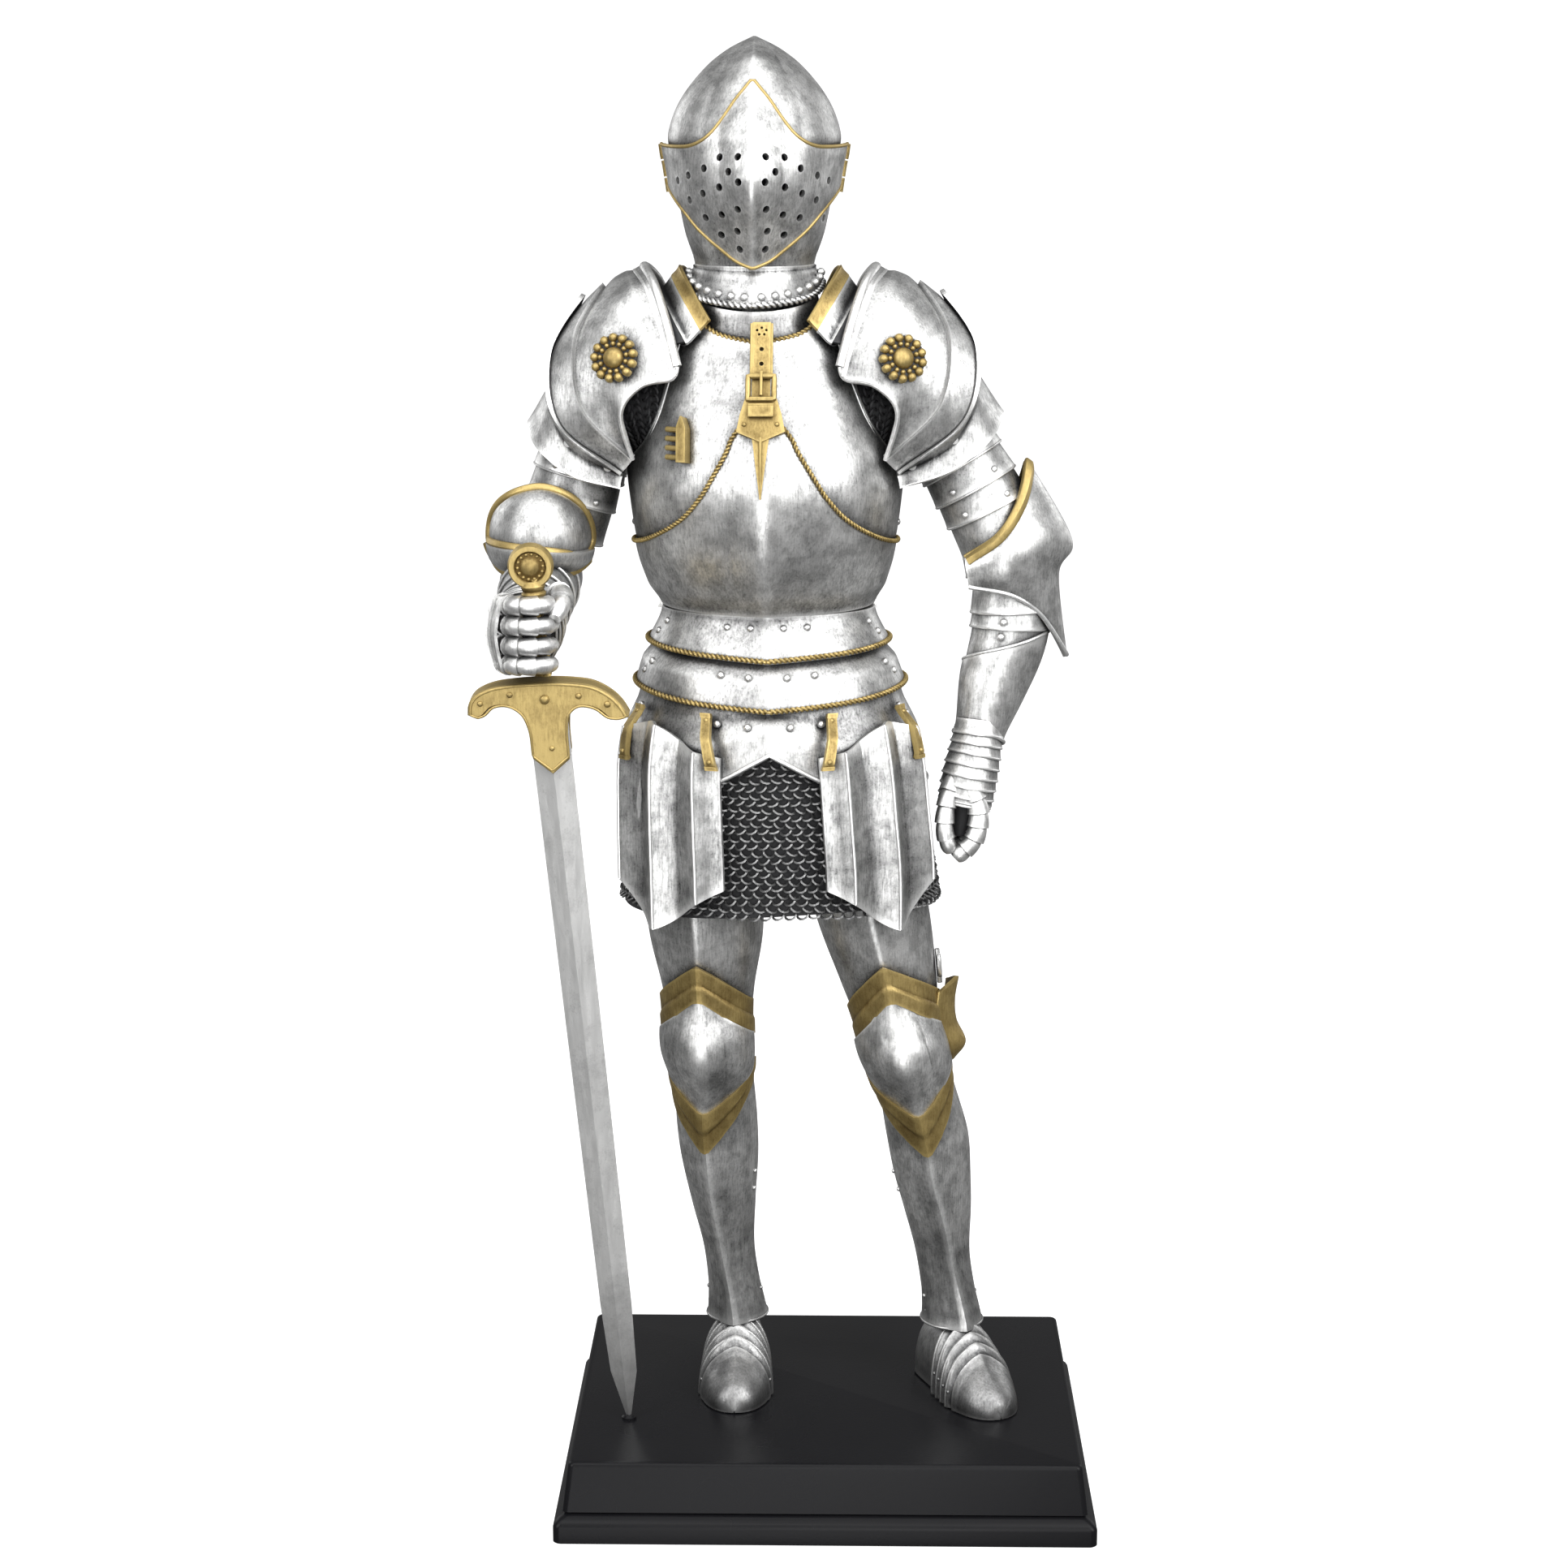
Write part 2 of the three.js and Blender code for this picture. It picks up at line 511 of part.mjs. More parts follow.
// The dome's upper and lower edges, in degrees up from its middle.
const elbowTop = (angle) => 10 + 52 * Math.max(0, Math.cos(rad(angle)));
const elbowFoot = (angle) => -30 - 14 * Math.abs(Math.sin(rad(angle)));
const armLine = [[-54, 1.5, 243], [-56.6, 1.5, 232.5], [-60.4, 1, 220.5], [-61.6, 1, 214]];
const armSolid = bar(armLine, () => 10.4, 12, 3);
const foreSolid = bar([[-63, 6, 214], [-64.4, -12, 210], [-64.8, -26, 206]], () => 9.4, 12, 3);
const dome = plate(elbowForm, {
  columns: even(-150, 96, 12), low: elbowFoot, high: elbowTop, rows: [[0, 0], [0.35, 0], [0.7, 0], [1, 0]],
});
node("couter_right", largest(cut(dome, [armSolid, foreSolid])), silver);

// Left elbow: a pointed plate wrapped round the bend, drawn out above and below.
const wrapped = (points, middleY) => [
  ...points,
  ...points.slice(0, -1).reverse().map(([x, y, z]) => [x, 2 * middleY - y, z]),
];
const ELBOW_L = [
  [[30.4, -8, 217.4], [37.6, -10.6, 222.6], [42.4, -8, 229.6], [44.6, 0, 238.2]],
  [[30.6, -9.6, 215], [40, -12, 217.8], [47.6, -8.4, 222], [54.8, 0, 220.4]],
  [[31, -9.4, 212.8], [40.4, -11.4, 213], [47.2, -8.2, 214], [52, 0, 212.4]],
  [[31.4, -8.8, 210.6], [41, -9.8, 208.8], [47.2, -7, 204.4], [54.2, 0, 193.6]],
].map((points) => wrapped(points, 0));
node("couter_left", plate(railForm(ELBOW_L), {
  columns: even(0, 1, 12), low: 0, high: 1, step: 0.01, rows: [[0, 0], [0.33, 0], [0.66, 0], [1, 0]],
}), silver);

const foreArm = {
  right: limb([
    [0, -63.6, 2, 212.6, 8.8, 8.8], [1, -64.4, -12, 210, 8.2, 8.2], [2, -64.8, -24, 206.4, 7.2, 8],
  ], vec(0, -0.3, 1)),
  left: limb([
    [0, 41.4, 0, 213, 8.8, 8.8], [1, 40.6, -1, 199, 8.3, 8.2], [2, 37.4, -3, 188, 7.2, 7],
    [3, 34.8, -5, 179, 5.4, 5.4], [4, 34, -6, 176, 5.1, 5.1],
  ]),
};
node("vambrace_right", tube(foreArm.right, 0.3, 1.95, [[0, 0], [0.5, 0], [1, 0]]), silver);
node("vambrace_left", tube(foreArm.left, 0.3, 3.9, [
  [0, -0.5], [0.36, -0.5], [0.38, 0], [0.7, 0], [1, 0],
]), silver);

// Hands: a lamed cuff open at the wrist, with the fingers worked on it.
const hand = {
  right: limb([
    [0, -64.8, -24.8, 206, 7.4, 8.2], [1, -65.6, -29, 204.6, 7.9, 9.2], [2, -66.6, -33, 203.6, 6.4, 9.4],
  ], vec(0, -0.3, 1)),
  left: limb([
    [0, 33.6, -6.8, 175, 5.5, 5.5], [1, 32.2, -8, 168, 6, 5.8], [2, 31, -8.6, 161.6, 5.9, 5.4],
  ]),
};
const FINGER_SIDES = 5;
const FINGER_TAPER = 0.25;
const finger = (points, radius) =>
  bar(points, (t) => radius * (1 - FINGER_TAPER * t * t), FINGER_SIDES, 4, 1, vec(0.2, 0.3, 1));
const fist = [211.2, 206.8, 202.4, 198.3].map((z, i) => finger([
  [-69.8, -34, z + 0.4], [-68.4, -40.6, z], [-63.4, -44, z - 0.2], [-58.6, -42, z - 0.2],
  [-57.3, -37.4 + i * 0.4, z],
], 2.5));
const thumb = finger([[-61.4, -31.6, 212], [-57.2, -35.8, 212.2], [-57.6, -40.8, 210.4]], 2.5);
const hanging = [-12.6, -9, -5.6, -2.2].map((y, i) => finger([
  [33.4, y + 0.6, 164], [35.6, y, 158], [34.2, y - 0.6, 152.4 + i * 0.4], [29, y - 1, 148.8 + i * 0.5],
], 2.15));
const looseThumb = finger([[28.4, -10, 167], [26.2, -12.6, 160], [26.6, -13.4, 154], [27.6, -13, 150]], 2);
node("gauntlet_right", joined([
  tube(hand.right, 0.05, 2, [[0, 0], [0.5, 0.6], [1, 0]], around(12)), ...fist, thumb,
]), silver);
node("gauntlet_left", joined([
  tube(hand.left, 0.05, 2, lames(3, 0.5), around(10)), ...hanging, looseThumb,
]), silver);

// ---------- sword ----------
// The blade's point stands in the plinth. Along the sword, k is the height above the origin.
const POINT = vec(-45.5, -20.4, PLINTH.top + 0.4);
const SWORD_TOP = vec(-63.3, -40, 220);
const swordAt = (z) => POINT.clone().lerp(SWORD_TOP, (z - POINT.z) / (SWORD_TOP.z - POINT.z));
const SWORD_AXIS = SWORD_TOP.clone().sub(POINT).normalize();
const SWORD_SIDE = vec(1, 0, 0).addScaledVector(SWORD_AXIS, -SWORD_AXIS.x).normalize();
const SWORD_FACE = SWORD_SIDE.clone().cross(SWORD_AXIS).normalize(); // to the front, square to the blade
const swordPoint = (z, side, face) =>
  swordAt(z).addScaledVector(SWORD_SIDE, side).addScaledVector(SWORD_FACE, face);
// Height, half width and half thickness.
const BLADE = [[18.4, 0.5, 0.4], [30, 3, 0.9], [47, 3.6, 1.1], [120, 4, 1.3], [189, 4.3, 1.4]];
{
  const rings = BLADE.map(([z, half, thick]) => [
    swordPoint(z, half, 0), swordPoint(z, 0, -thick), swordPoint(z, -half, 0), swordPoint(z, 0, thick),
  ]);
  node("sword_blade", lofted(rings), silver);
}
// The guard: a bar with turned-down ends, and a shield-shaped plate down each face of the blade.
// Its outline, as side and height: over the top from the left tip, then down each edge of the plate.
const GUARD = {
  top: [
    [-17, 187.3], [-16.6, 189.6], [-15, 191.6], [-11.5, 193.2], [-6, 194.1], [0, 194.5], [6, 194.4],
    [10.8, 193.7], [14.4, 191.7], [16.5, 189.4], [17.7, 187],
  ],
  right: [[15.9, 186.5], [13.7, 186.8], [11, 188.9], [7.4, 189.4], [5, 187.5], [4.2, 184], [4, 177.6]],
  left: [[-4, 177.6], [-4.2, 184], [-5.6, 187.6], [-8.6, 189.4], [-11.8, 189], [-13.8, 187.2], [-15.4, 186.6]],
  tip: [0, 174.2],
  barHalf: 2.5,
  plate: [1.9, 3], // the faces of the shield-shaped plate, out from the blade's middle
};
const outline = (points) => new THREE.Shape(points.map(([x, z]) => new THREE.Vector2(x, z)));
const guardBar = outline([...GUARD.top, ...GUARD.right.slice(0, 4), ...GUARD.left.slice(3)]);
const guardPlate = outline([...GUARD.top, ...GUARD.right, GUARD.tip, ...GUARD.left]);
function onSword(shape, near, far) {
  const geometry = new THREE.ExtrudeGeometry(shape, { depth: far - near, bevelEnabled: false });
  const place = geometry.attributes.position;
  for (let i = 0; i < place.count; i++) {
    const p = swordPoint(place.getY(i), place.getX(i), place.getZ(i) + near);
    place.setXYZ(i, p.x, p.y, p.z);
  }
  return merged(geometry);
}
const [plateNear, plateFar] = GUARD.plate;
node("sword_guard", joined([
  onSword(guardBar, -GUARD.barHalf, GUARD.barHalf),
  onSword(guardPlate, plateNear, plateFar),
  onSword(guardPlate, -plateFar, -plateNear),
]), gold);
// The grip and the pommel are one piece.
const GRIP_R = 1.9;
node("sword_hilt", joined([
  bar([swordPoint(196.4, 0, 0).toArray(), swordPoint(217.4, 0, 0).toArray()], () => GRIP_R, 8, 1),
  disc([[0, -2], [3.6, -2], [4.4, -1], [4.4, 1], [3.6, 2], [0, 2]], 14, swordAt(220), SWORD_FACE),
]), gold);

// ---------- fauld, tassets and mail skirt ----------
// Each lame: the front, the quarters and the back of its lower edge, then its upper edge.
const UNDER = 1.45; // how deep a lame's upper edge is tucked
const TUCK = 2.2; // and how far it runs up under the lame above
const FAULD = [
  { low: [[0, 195.4], [30, 196.2], [90, 197.6], [180, 198]], tucked: 2 },
  { low: [[0, 184.8], [30, 185.8], [90, 188.2], [180, 189]], tucked: 0.8 },
  { low: [[0, 176], [8, 173.4], [17, 170.4], [30, 167], [90, 166], [180, 167]], tucked: 0.78 },
];
const lameColumns = [0, 8, 17, 30, 50, 70, 90, 120, 150, 180];
let above = () => 203.2;
FAULD.forEach(({ low, tucked }, i) => {
  const edge = table("angle z", low);
  const top = above;
  node("fauld_lame_" + (i + 1), plate(torsoForm, {
    columns: [...lameColumns, ...lameColumns.slice(0, -1).reverse().map((a) => 360 - a)],
    low: (a) => edge(away(a)).z, high: (a) => top(a) + TUCK,
    rows: i ? [[0, 0], [0.5, 0], [tucked, -UNDER], [1, -UNDER]] : [[0, 0], [0.5, 0], [1, 0]],
  }), silver);
  above = (a) => edge(away(a)).z;
});
const skirtForm = ringForm(table("z x y half front back", [
  [136, -10.6, 0, 36.2, 24.8, 24.8], [160, -11.8, 0, 33.3, 25, 23.5], [178, -12.8, 0, 30.6, 23.4, 21.2],
]));
node("mail_skirt", plate(skirtForm, {
  columns: around(20), low: (a) => 138 + 1.2 * Math.sin(rad(a * 2 + 30)), high: 176,
  rows: [[0, 0], [0.4, 0], [0.75, 0], [1, 0]], wall: 1.2,
}), mail);
// Tassets: fluted plates. Columns alternate between valleys and ridges.
const TASSET = { from: 18, to: 71, flutes: 3, depth: 1.3, lift: 1.5 };
const tassetFoot = table("angle z", [[18, 145.4], [24, 143.6], [48, 135.2], [62, 145], [71, 151]]);
const tassetHead = table("angle z", [[18, 175], [30, 176.6], [48, 181.4], [62, 179.4], [71, 177]]);
const flute = (a) => {
  const across = (Math.abs(a) - TASSET.from) / (TASSET.to - TASSET.from);
  return TASSET.depth * (1 - Math.cos(2 * Math.PI * TASSET.flutes * across));
};
for (const [name, side] of [["right", -1], ["left", 1]]) {
  const [a, b] = side < 0 ? [-TASSET.to, -TASSET.from] : [TASSET.from, TASSET.to];
  node("tasset_" + name, plate(torsoForm, {
    columns: even(a, b, 4 * TASSET.flutes),
    low: (u) => tassetFoot(Math.abs(u)).z, high: (u) => tassetHead(Math.abs(u)).z,
    rows: [[0, TASSET.lift], [0.5, TASSET.lift], [1, TASSET.lift]], swell: flute,
  }), silver);
  for (const [place, angle] of [["front", 25], ["side", 62]])
    node(`tasset_strap_${place}_${name}`, plate(torsoForm, {
      columns: even(side * angle - 2.2, side * angle + 2.2, 1), low: 173.4, high: 184,
      rows: [[0, 5.4], [0.62, 5.4], [0.8, 1.9], [1, 1.5]],
    }), gold);
}

// ---------- legs ----------
const LEG = {
  right: {
    form: ringForm(table("z x y half front back turn", [
      [28, -21, 7.8, 6.3, 6.8, 7.4, -5], [36, -21.3, 7.6, 6.3, 6.8, 7.4, -5],
      [50, -23, 7.2, 5.9, 6.6, 7.4, -9], [62, -24.3, 6.4, 7.4, 8.2, 9.6, -12],
      [74, -25.2, 5.4, 9, 9.6, 11, -13], [84, -25.8, 4, 9.4, 10, 10.8, -12],
      [96, -26.2, 1.6, 9, 10, 9.6, -10], [106, -27, 0.2, 9.6, 10.6, 10, -9],
      [116, -27.4, 0, 10.6, 11.2, 11.4, -8], [130, -27.9, 0, 13.2, 13.4, 14, -8],
      [150, -28.8, 0, 13.8, 14.4, 15, -8],
    ]), 1),
    slant: 0, heel: [-21.2, 19.2], turn: 0,
  },
  left: {
    form: ringForm(table("z x y half front back turn", [
      [28, 30, 4, 6.3, 6.8, 7.4, 20], [36, 29.7, 4, 6.3, 6.8, 7.4, 20], [50, 27.6, 4.4, 6.3, 6.8, 7.4, 13],
      [62, 26.1, 4.4, 8, 8.6, 9.6, 5], [70, 24.9, 4.2, 9, 9.6, 10.6, 0], [80, 23.6, 3.4, 9.6, 10, 11, -2],
      [90, 21.4, 1.8, 9.1, 10, 10.2, -2], [100, 18.4, 0.4, 9.1, 10.4, 9.8, 0],
      [108, 16.4, -0.2, 9.5, 10.8, 10.4, 0], [118, 14.2, 0, 11.2, 11.8, 12, 0],
      [134, 10.4, 0, 13.2, 13.6, 14, 0], [150, 7.4, 0, 13, 14.4, 15, 0],
    ]), 1),
    slant: 2, heel: [26.1, 13.4], turn: 23,
  },
};
// Edges of the knee's plates by angle from its front.
const KNEE = table("angle peak shoulder foot tip", [
  [0, 124.6, 116.2, 88.6, 78], [30, 120.2, 111.4, 92.6, 84.4], [60, 116, 107.6, 97, 91.6],
  [85, 113.8, 105.6, 100, 95],
]);
const COP = { lift: 1.5, swell: 3.2, level: 103, spread: 8.5 };
for (const [name, leg] of Object.entries(LEG)) {
  const edge = (key, shift) => (a) => KNEE(Math.abs(a))[key] + leg.slant * Math.sin(rad(a)) + shift;
  const cop = (a, z) => {
    const rise = Math.exp(-(((z - COP.level) / COP.spread) ** 2)) * Math.max(0, Math.cos(rad(a))) ** 0.7;
    return COP.swell * rise;
  };
  const band = (low, high, rows, more = {}) =>
    plate(leg.form, { columns: even(-84, 84, 12), low, high, rows, ...more });
  node("cuisse_" + name, plate(leg.form, {
    columns: around(14), low: 106.5, high: 142, rows: [[0, 0], [0.25, 0], [0.6, 0], [1, 0]],
  }), silver);
  node("poleyn_" + name, band(edge("foot", 0.3), edge("shoulder", -0.3), [
    [0, COP.lift], [0.25, COP.lift], [0.5, COP.lift], [0.75, COP.lift], [1, COP.lift],
  ], { swell: cop }), silver);
  node("poleyn_upper_" + name, band(edge("shoulder", 0), edge("peak", 0), [[0, 2], [0.5, 1.5], [1, 1.5]]), gold);
  node("poleyn_lower_" + name, band(edge("tip", 0), edge("foot", 0), [[0, 1.8], [0.5, 1.8], [1, 2]]), gold);
  node("greave_" + name, plate(leg.form, {
    columns: around(14), low: 35.6, high: 106.2,
    rows: [[0, 0.4], [0.06, 0], [0.22, 0], [0.42, 0], [0.64, 0], [0.84, 0], [1, 0]],
  }), silver);
}
node("poleyn_wing_left", plate(LEG.left.form, {
  columns: even(87, 112, 4), low: (a) => 98.6 + 0.16 * (a - 87), high: (a) => 117.6 - 0.3 * Math.abs(a - 99),
  rows: [[0, 5], [0.25, 4], [0.5, 2], [0.75, 3.4], [1, 5.4]],
}), gold);

// Sabatons: an arched shell along the foot, with lames over the instep, open at the ankle and underneath.
const FOOT = table("s half high", [
  [0, 5, 11], [3, 6.4, 14.6], [12, 6.8, 15.4], [17, 7, 15], [22, 7.3, 12.4], [28, 7.4, 9.2], [33, 7.2, 7.4],
  [38, 7, 6.6],
]);
const TOE = 37; // the sabaton's length from its heel
const ROUND = 27; // where its sides begin to close at the toe
const ARCH = 0.8; // how square the arch is over the foot
const FLOOR = PLINTH.top + GAP;
const ANKLE = { at: 11.4, radius: 5, low: 26, high: 42 }; // the opening the shin goes in by
// Stations along the sabaton, and how far each lame stands over the next.
const LAMES = [
  [0, 0], [3, 0], [8, 0], [14.6, 0], [14.8, 0.5], [18.2, 0], [18.4, 0.5], [21.8, 0], [22, 0.5], [25.2, 0],
  [25.4, 0.4], [29, 0], [32, 0], [34.4, 0], [36, 0], [36.8, 0], [TOE, 0],
];
for (const [name, leg] of Object.entries(LEG)) {
  const turn = rad(leg.turn);
  const [x0, y0] = leg.heel;
  const place = (side, s, up) => vec(
    x0 + side * Math.cos(turn) + s * Math.sin(turn),
    y0 + side * Math.sin(turn) - s * Math.cos(turn),
    FLOOR + up,
  );
  const arch = (s, lift, drop) => {
    const r = FOOT(s);
    const close = Math.sqrt(Math.max(0.001, 1 - Math.max(0, (s - ROUND) / (TOE - ROUND)) ** 2));
    const [half, high] = [r.half * close + lift, r.high * close ** 0.7 + lift];
    return even(-90, 90, 8).map((a) => {
      const up = high * Math.max(0, Math.cos(rad(a))) ** ARCH;
      return place(-half * Math.sin(rad(a)), s, Math.abs(a) === 90 ? -drop : up);
    });
  };
  const outside = lofted(LAMES.map(([s, lift]) => arch(s, lift, 0)));
  const inside = lofted(even(WALL, TOE - 2 * WALL, 8).map((s) => arch(s, -WALL, WALL)));
  const ankle = [ANKLE.low, ANKLE.high].map((z) => [...place(0, ANKLE.at, 0).toArray().slice(0, 2), z]);
  const opening = bar(ankle, () => ANKLE.radius, 10, 1, 1, vec(0, 1, 0));
  node("sabaton_" + name, cut(outside, [inside, opening]), silver);
}

export default suit;
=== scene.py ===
# Looks for the suit of plate armour on its plinth. Sizes are in millimetres until a mesh is made.
# The front is towards -Y, and "right" and "left" are the wearer's. Angles on a form are in degrees,
# 0 at its front. The forms repeat the solids' sections, with a finer grid and their small relief.
import math

import bpy
import numpy as np
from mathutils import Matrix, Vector


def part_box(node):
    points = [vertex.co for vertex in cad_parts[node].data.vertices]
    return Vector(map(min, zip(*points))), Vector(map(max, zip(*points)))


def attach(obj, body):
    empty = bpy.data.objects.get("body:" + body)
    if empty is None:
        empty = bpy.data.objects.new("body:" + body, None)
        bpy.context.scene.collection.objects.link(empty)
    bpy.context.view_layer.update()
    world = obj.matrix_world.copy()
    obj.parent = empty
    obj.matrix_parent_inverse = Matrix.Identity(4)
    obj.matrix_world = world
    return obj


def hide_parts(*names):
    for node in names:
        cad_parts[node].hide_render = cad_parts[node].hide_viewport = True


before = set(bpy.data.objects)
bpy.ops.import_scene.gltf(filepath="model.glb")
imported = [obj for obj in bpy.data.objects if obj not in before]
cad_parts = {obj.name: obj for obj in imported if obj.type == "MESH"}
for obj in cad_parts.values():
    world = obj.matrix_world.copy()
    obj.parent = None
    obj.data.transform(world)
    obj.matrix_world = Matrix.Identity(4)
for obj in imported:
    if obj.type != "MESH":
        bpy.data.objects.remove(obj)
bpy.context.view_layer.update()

MM = 0.001
WALL = 1.0
AROUND = (0, 360)
GAP = 0.3
PLINTH_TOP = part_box("plinth_block")[1].z / MM
FLOOR = PLINTH_TOP + GAP
MIDDLE_X = -15.2
rng = np.random.default_rng(7)

# ---------- camera, floor and light ----------
CAMERA = {"place": (0.0022, -0.72354, 0.31508), "down": 11.8, "left": 0.96, "lens": 74.3}


def look(name, place, target, data):
    """An object at a place, turned to look at a target."""
    thing = bpy.data.objects.new(name, data)
    bpy.context.scene.collection.objects.link(thing)
    thing.location = place
    direction = Vector(target) - Vector(place)
    thing.rotation_euler = direction.to_track_quat("-Z", "Y").to_euler()
    return thing


def make_camera():
    data = bpy.data.cameras.new("camera")
    data.lens = CAMERA["lens"]
    data.sensor_width = 36
    data.clip_start = 0.01
    camera = bpy.data.objects.new("camera", data)
    bpy.context.scene.collection.objects.link(camera)
    camera.location = CAMERA["place"]
    camera.rotation_euler = (math.radians(90 - CAMERA["down"]), 0, math.radians(CAMERA["left"]))
    bpy.context.scene.camera = camera


# Softboxes: place, size in metres, power in watts.
LIGHTS = {
    "key_left": ((-0.8, -0.75, 0.52), 0.55, 4.8),
    "key_right": ((0.8, -0.7, 0.58), 0.55, 6.6),
    "high": ((0.12, -0.9, 0.72), 0.9, 4.6),
    "front": ((0.12, -1.1, 0.3), 0.4, 1.5),
    "low": ((-0.1, -1.0, -0.06), 0.6, 3.0),
    "top": ((0.05, -0.3, 1.0), 0.9, 5.0),
    "crown_left": ((-0.55, -0.45, 0.95), 0.6, 2.6),
    "crown_right": ((0.55, -0.45, 0.95), 0.6, 2.6),
    "rear_left": ((-0.8, 0.65, 0.5), 0.6, 1.7),
    "rear_right": ((0.8, 0.65, 0.5), 0.6, 1.7),
}
AMBIENT = 0.2


def make_lights():
    for name, (place, size, power) in LIGHTS.items():
        data = bpy.data.lights.new(name, "AREA")
        data.size = size
        data.energy = power
        look(name, place, (-0.01, 0, 0.2), data).visible_camera = False
    world = bpy.data.worlds.new("studio")
    bpy.context.scene.world = world
    world.use_nodes = True
    world.node_tree.nodes["Background"].inputs["Color"].default_value = (1, 1, 1, 1)
    world.node_tree.nodes["Background"].inputs["Strength"].default_value = AMBIENT
    bpy.context.scene.view_settings.view_transform = "Standard"


# ---------- shader nodes ----------
class Nodes:
    """A short way to build a material."""

    def __init__(self, name):
        self.material = bpy.data.materials.new(name)
        self.material.use_nodes = True
        self.tree = self.material.node_tree
        self.shader = self.tree.nodes["Principled BSDF"]

    def add(self, kind, inputs=(), **settings):
        made = self.tree.nodes.new(kind)
        for key, value in settings.items():
            setattr(made, key, value)
        for key, value in dict(inputs).items():
            self.put(made.inputs[key], value)
        return made

    def put(self, socket, value):
        if isinstance(value, bpy.types.NodeSocket):
            self.tree.links.new(value, socket)
        else:
            socket.default_value = value

    def place(self, scale=(1, 1, 1)):
        """Object coordinates in millimetres, stretched by scale."""
        coordinate = self.add("ShaderNodeTexCoord").outputs["Object"]
        size = [s / MM for s in scale]
        return self.add("ShaderNodeMapping", {"Vector": coordinate, "Scale": size}).outputs["Vector"]

    def noise(self, vector, scale, detail=3, rough=0.5):
        made = self.add("ShaderNodeTexNoise", {
            "Vector": vector, "Scale": scale, "Detail": detail, "Roughness": rough,
        })
        return made.outputs["Fac"]

    def ramp(self, value, low, high, out_low=0.0, out_high=1.0):
        made = self.add("ShaderNodeMapRange", {
            "Value": value, "From Min": low, "From Max": high, "To Min": out_low, "To Max": out_high,
        })
        return made.outputs["Result"]

    def math(self, kind, a, b=0.0):
        made = self.add("ShaderNodeMath", operation=kind)
        self.put(made.inputs[0], a)
        self.put(made.inputs[1], b)
        return made.outputs["Value"]

    def mix(self, factor, a, b):
        made = self.add("ShaderNodeMix", data_type="RGBA")
        self.put(made.inputs["Factor"], factor)
        self.put(made.inputs["A"], a)
        self.put(made.inputs["B"], b)
        return made.outputs["Result"]

    def bump(self, height, distance, strength=1.0):
        made = self.add("ShaderNodeBump", {"Height": height, "Distance": distance * MM, "Strength": strength})
        self.put(self.shader.inputs["Normal"], made.outputs["Normal"])


def colour(r, g, b):
    return (r, g, b, 1.0)


def patina_and_painted_shade(n, reach, low, high):
    """0 in recesses and under laps, 1 on open forms, from ambient occlusion: patina in the recesses, and
    painted shade under the laps and across the broad reach.
    """
    shade = n.add("ShaderNodeAmbientOcclusion", {"Distance": reach * MM}, samples=6)
    return n.ramp(shade.outputs["AO"], low, high)


def antiqued(name, bright, dark, rough, reach=12.0, metallic=0.88, brushed=(1.5, 1.5, 0.22), level=0.5):
    """Metal with patina and painted shade in its recesses and under laps, painted shade towards the floor,
    edges worn bright with a painted highlight, and brushed down.
    """
    n = Nodes(name)
    where = n.place()
    streaks = n.noise(n.place(brushed), 1.5, 6, 0.65)
    clouds = n.noise(where, 0.09, 3)
    grain = n.noise(where, 2.2, 4, 0.6)
    patches = n.noise(where, 0.28, 5, 0.62)
    edge = n.add("ShaderNodeNewGeometry").outputs["Pointiness"]
    # Edges lighter: wear of the antiqued finish, together with a painted highlight.
    rubbed_and_highlit = n.ramp(edge, 0.5, 0.56)
    # Creases darker: patina, deepened as painted shade.
    hollow = n.ramp(edge, 0.5, 0.455)
    # Dark-to-bright mix: patina, wear and tone, with painted shade from ambient occlusion.
    wear_and_painted_light = n.math("MULTIPLY", patina_and_painted_shade(n, reach, 0.3, 1.0), patina_and_painted_shade(n, reach * 0.25, 0.1, 0.95))
    wear_and_painted_light = n.math("MULTIPLY", wear_and_painted_light, n.ramp(streaks, 0.34, 0.6, 0.56, 1.0))
    wear_and_painted_light = n.math("MULTIPLY", wear_and_painted_light, n.ramp(patches, 0.38, 0.58, 0.6, 1.0))
    wear_and_painted_light = n.math("MULTIPLY", wear_and_painted_light, n.ramp(clouds, 0.34, 0.62, 0.62, 1.0))
    wear_and_painted_light = n.math("SUBTRACT", wear_and_painted_light, n.math("MULTIPLY", n.ramp(grain, 0.5, 0.75), 0.22))
    wear_and_painted_light = n.math("ADD", wear_and_painted_light, n.math("MULTIPLY", rubbed_and_highlit, level))
    wear_and_painted_light = n.math("SUBTRACT", wear_and_painted_light, n.math("MULTIPLY", hollow, 0.7))
    # Darker towards the floor: painted shade, standing in for light that falls off down the legs.
    height = n.add("ShaderNodeSeparateXYZ", {"Vector": where}).outputs["Z"]
    wear_and_painted_light = n.math("MULTIPLY", wear_and_painted_light, n.ramp(height, 20, 62, 0.26, 1.0))
    wear_and_painted_light = n.add("ShaderNodeClamp", {"Value": wear_and_painted_light}).outputs["Result"]
    n.put(n.shader.inputs["Base Color"], n.mix(wear_and_painted_light, dark, bright))
    n.put(n.shader.inputs["Roughness"], n.ramp(streaks, 0.3, 0.7, rough + 0.1, rough - 0.06))
    n.shader.inputs["Metallic"].default_value = metallic
    relief = n.math("ADD", n.math("MULTIPLY", streaks, 0.6), n.math("MULTIPLY", grain, 0.4))
    n.bump(relief, 0.12, 0.5)
    return n.material


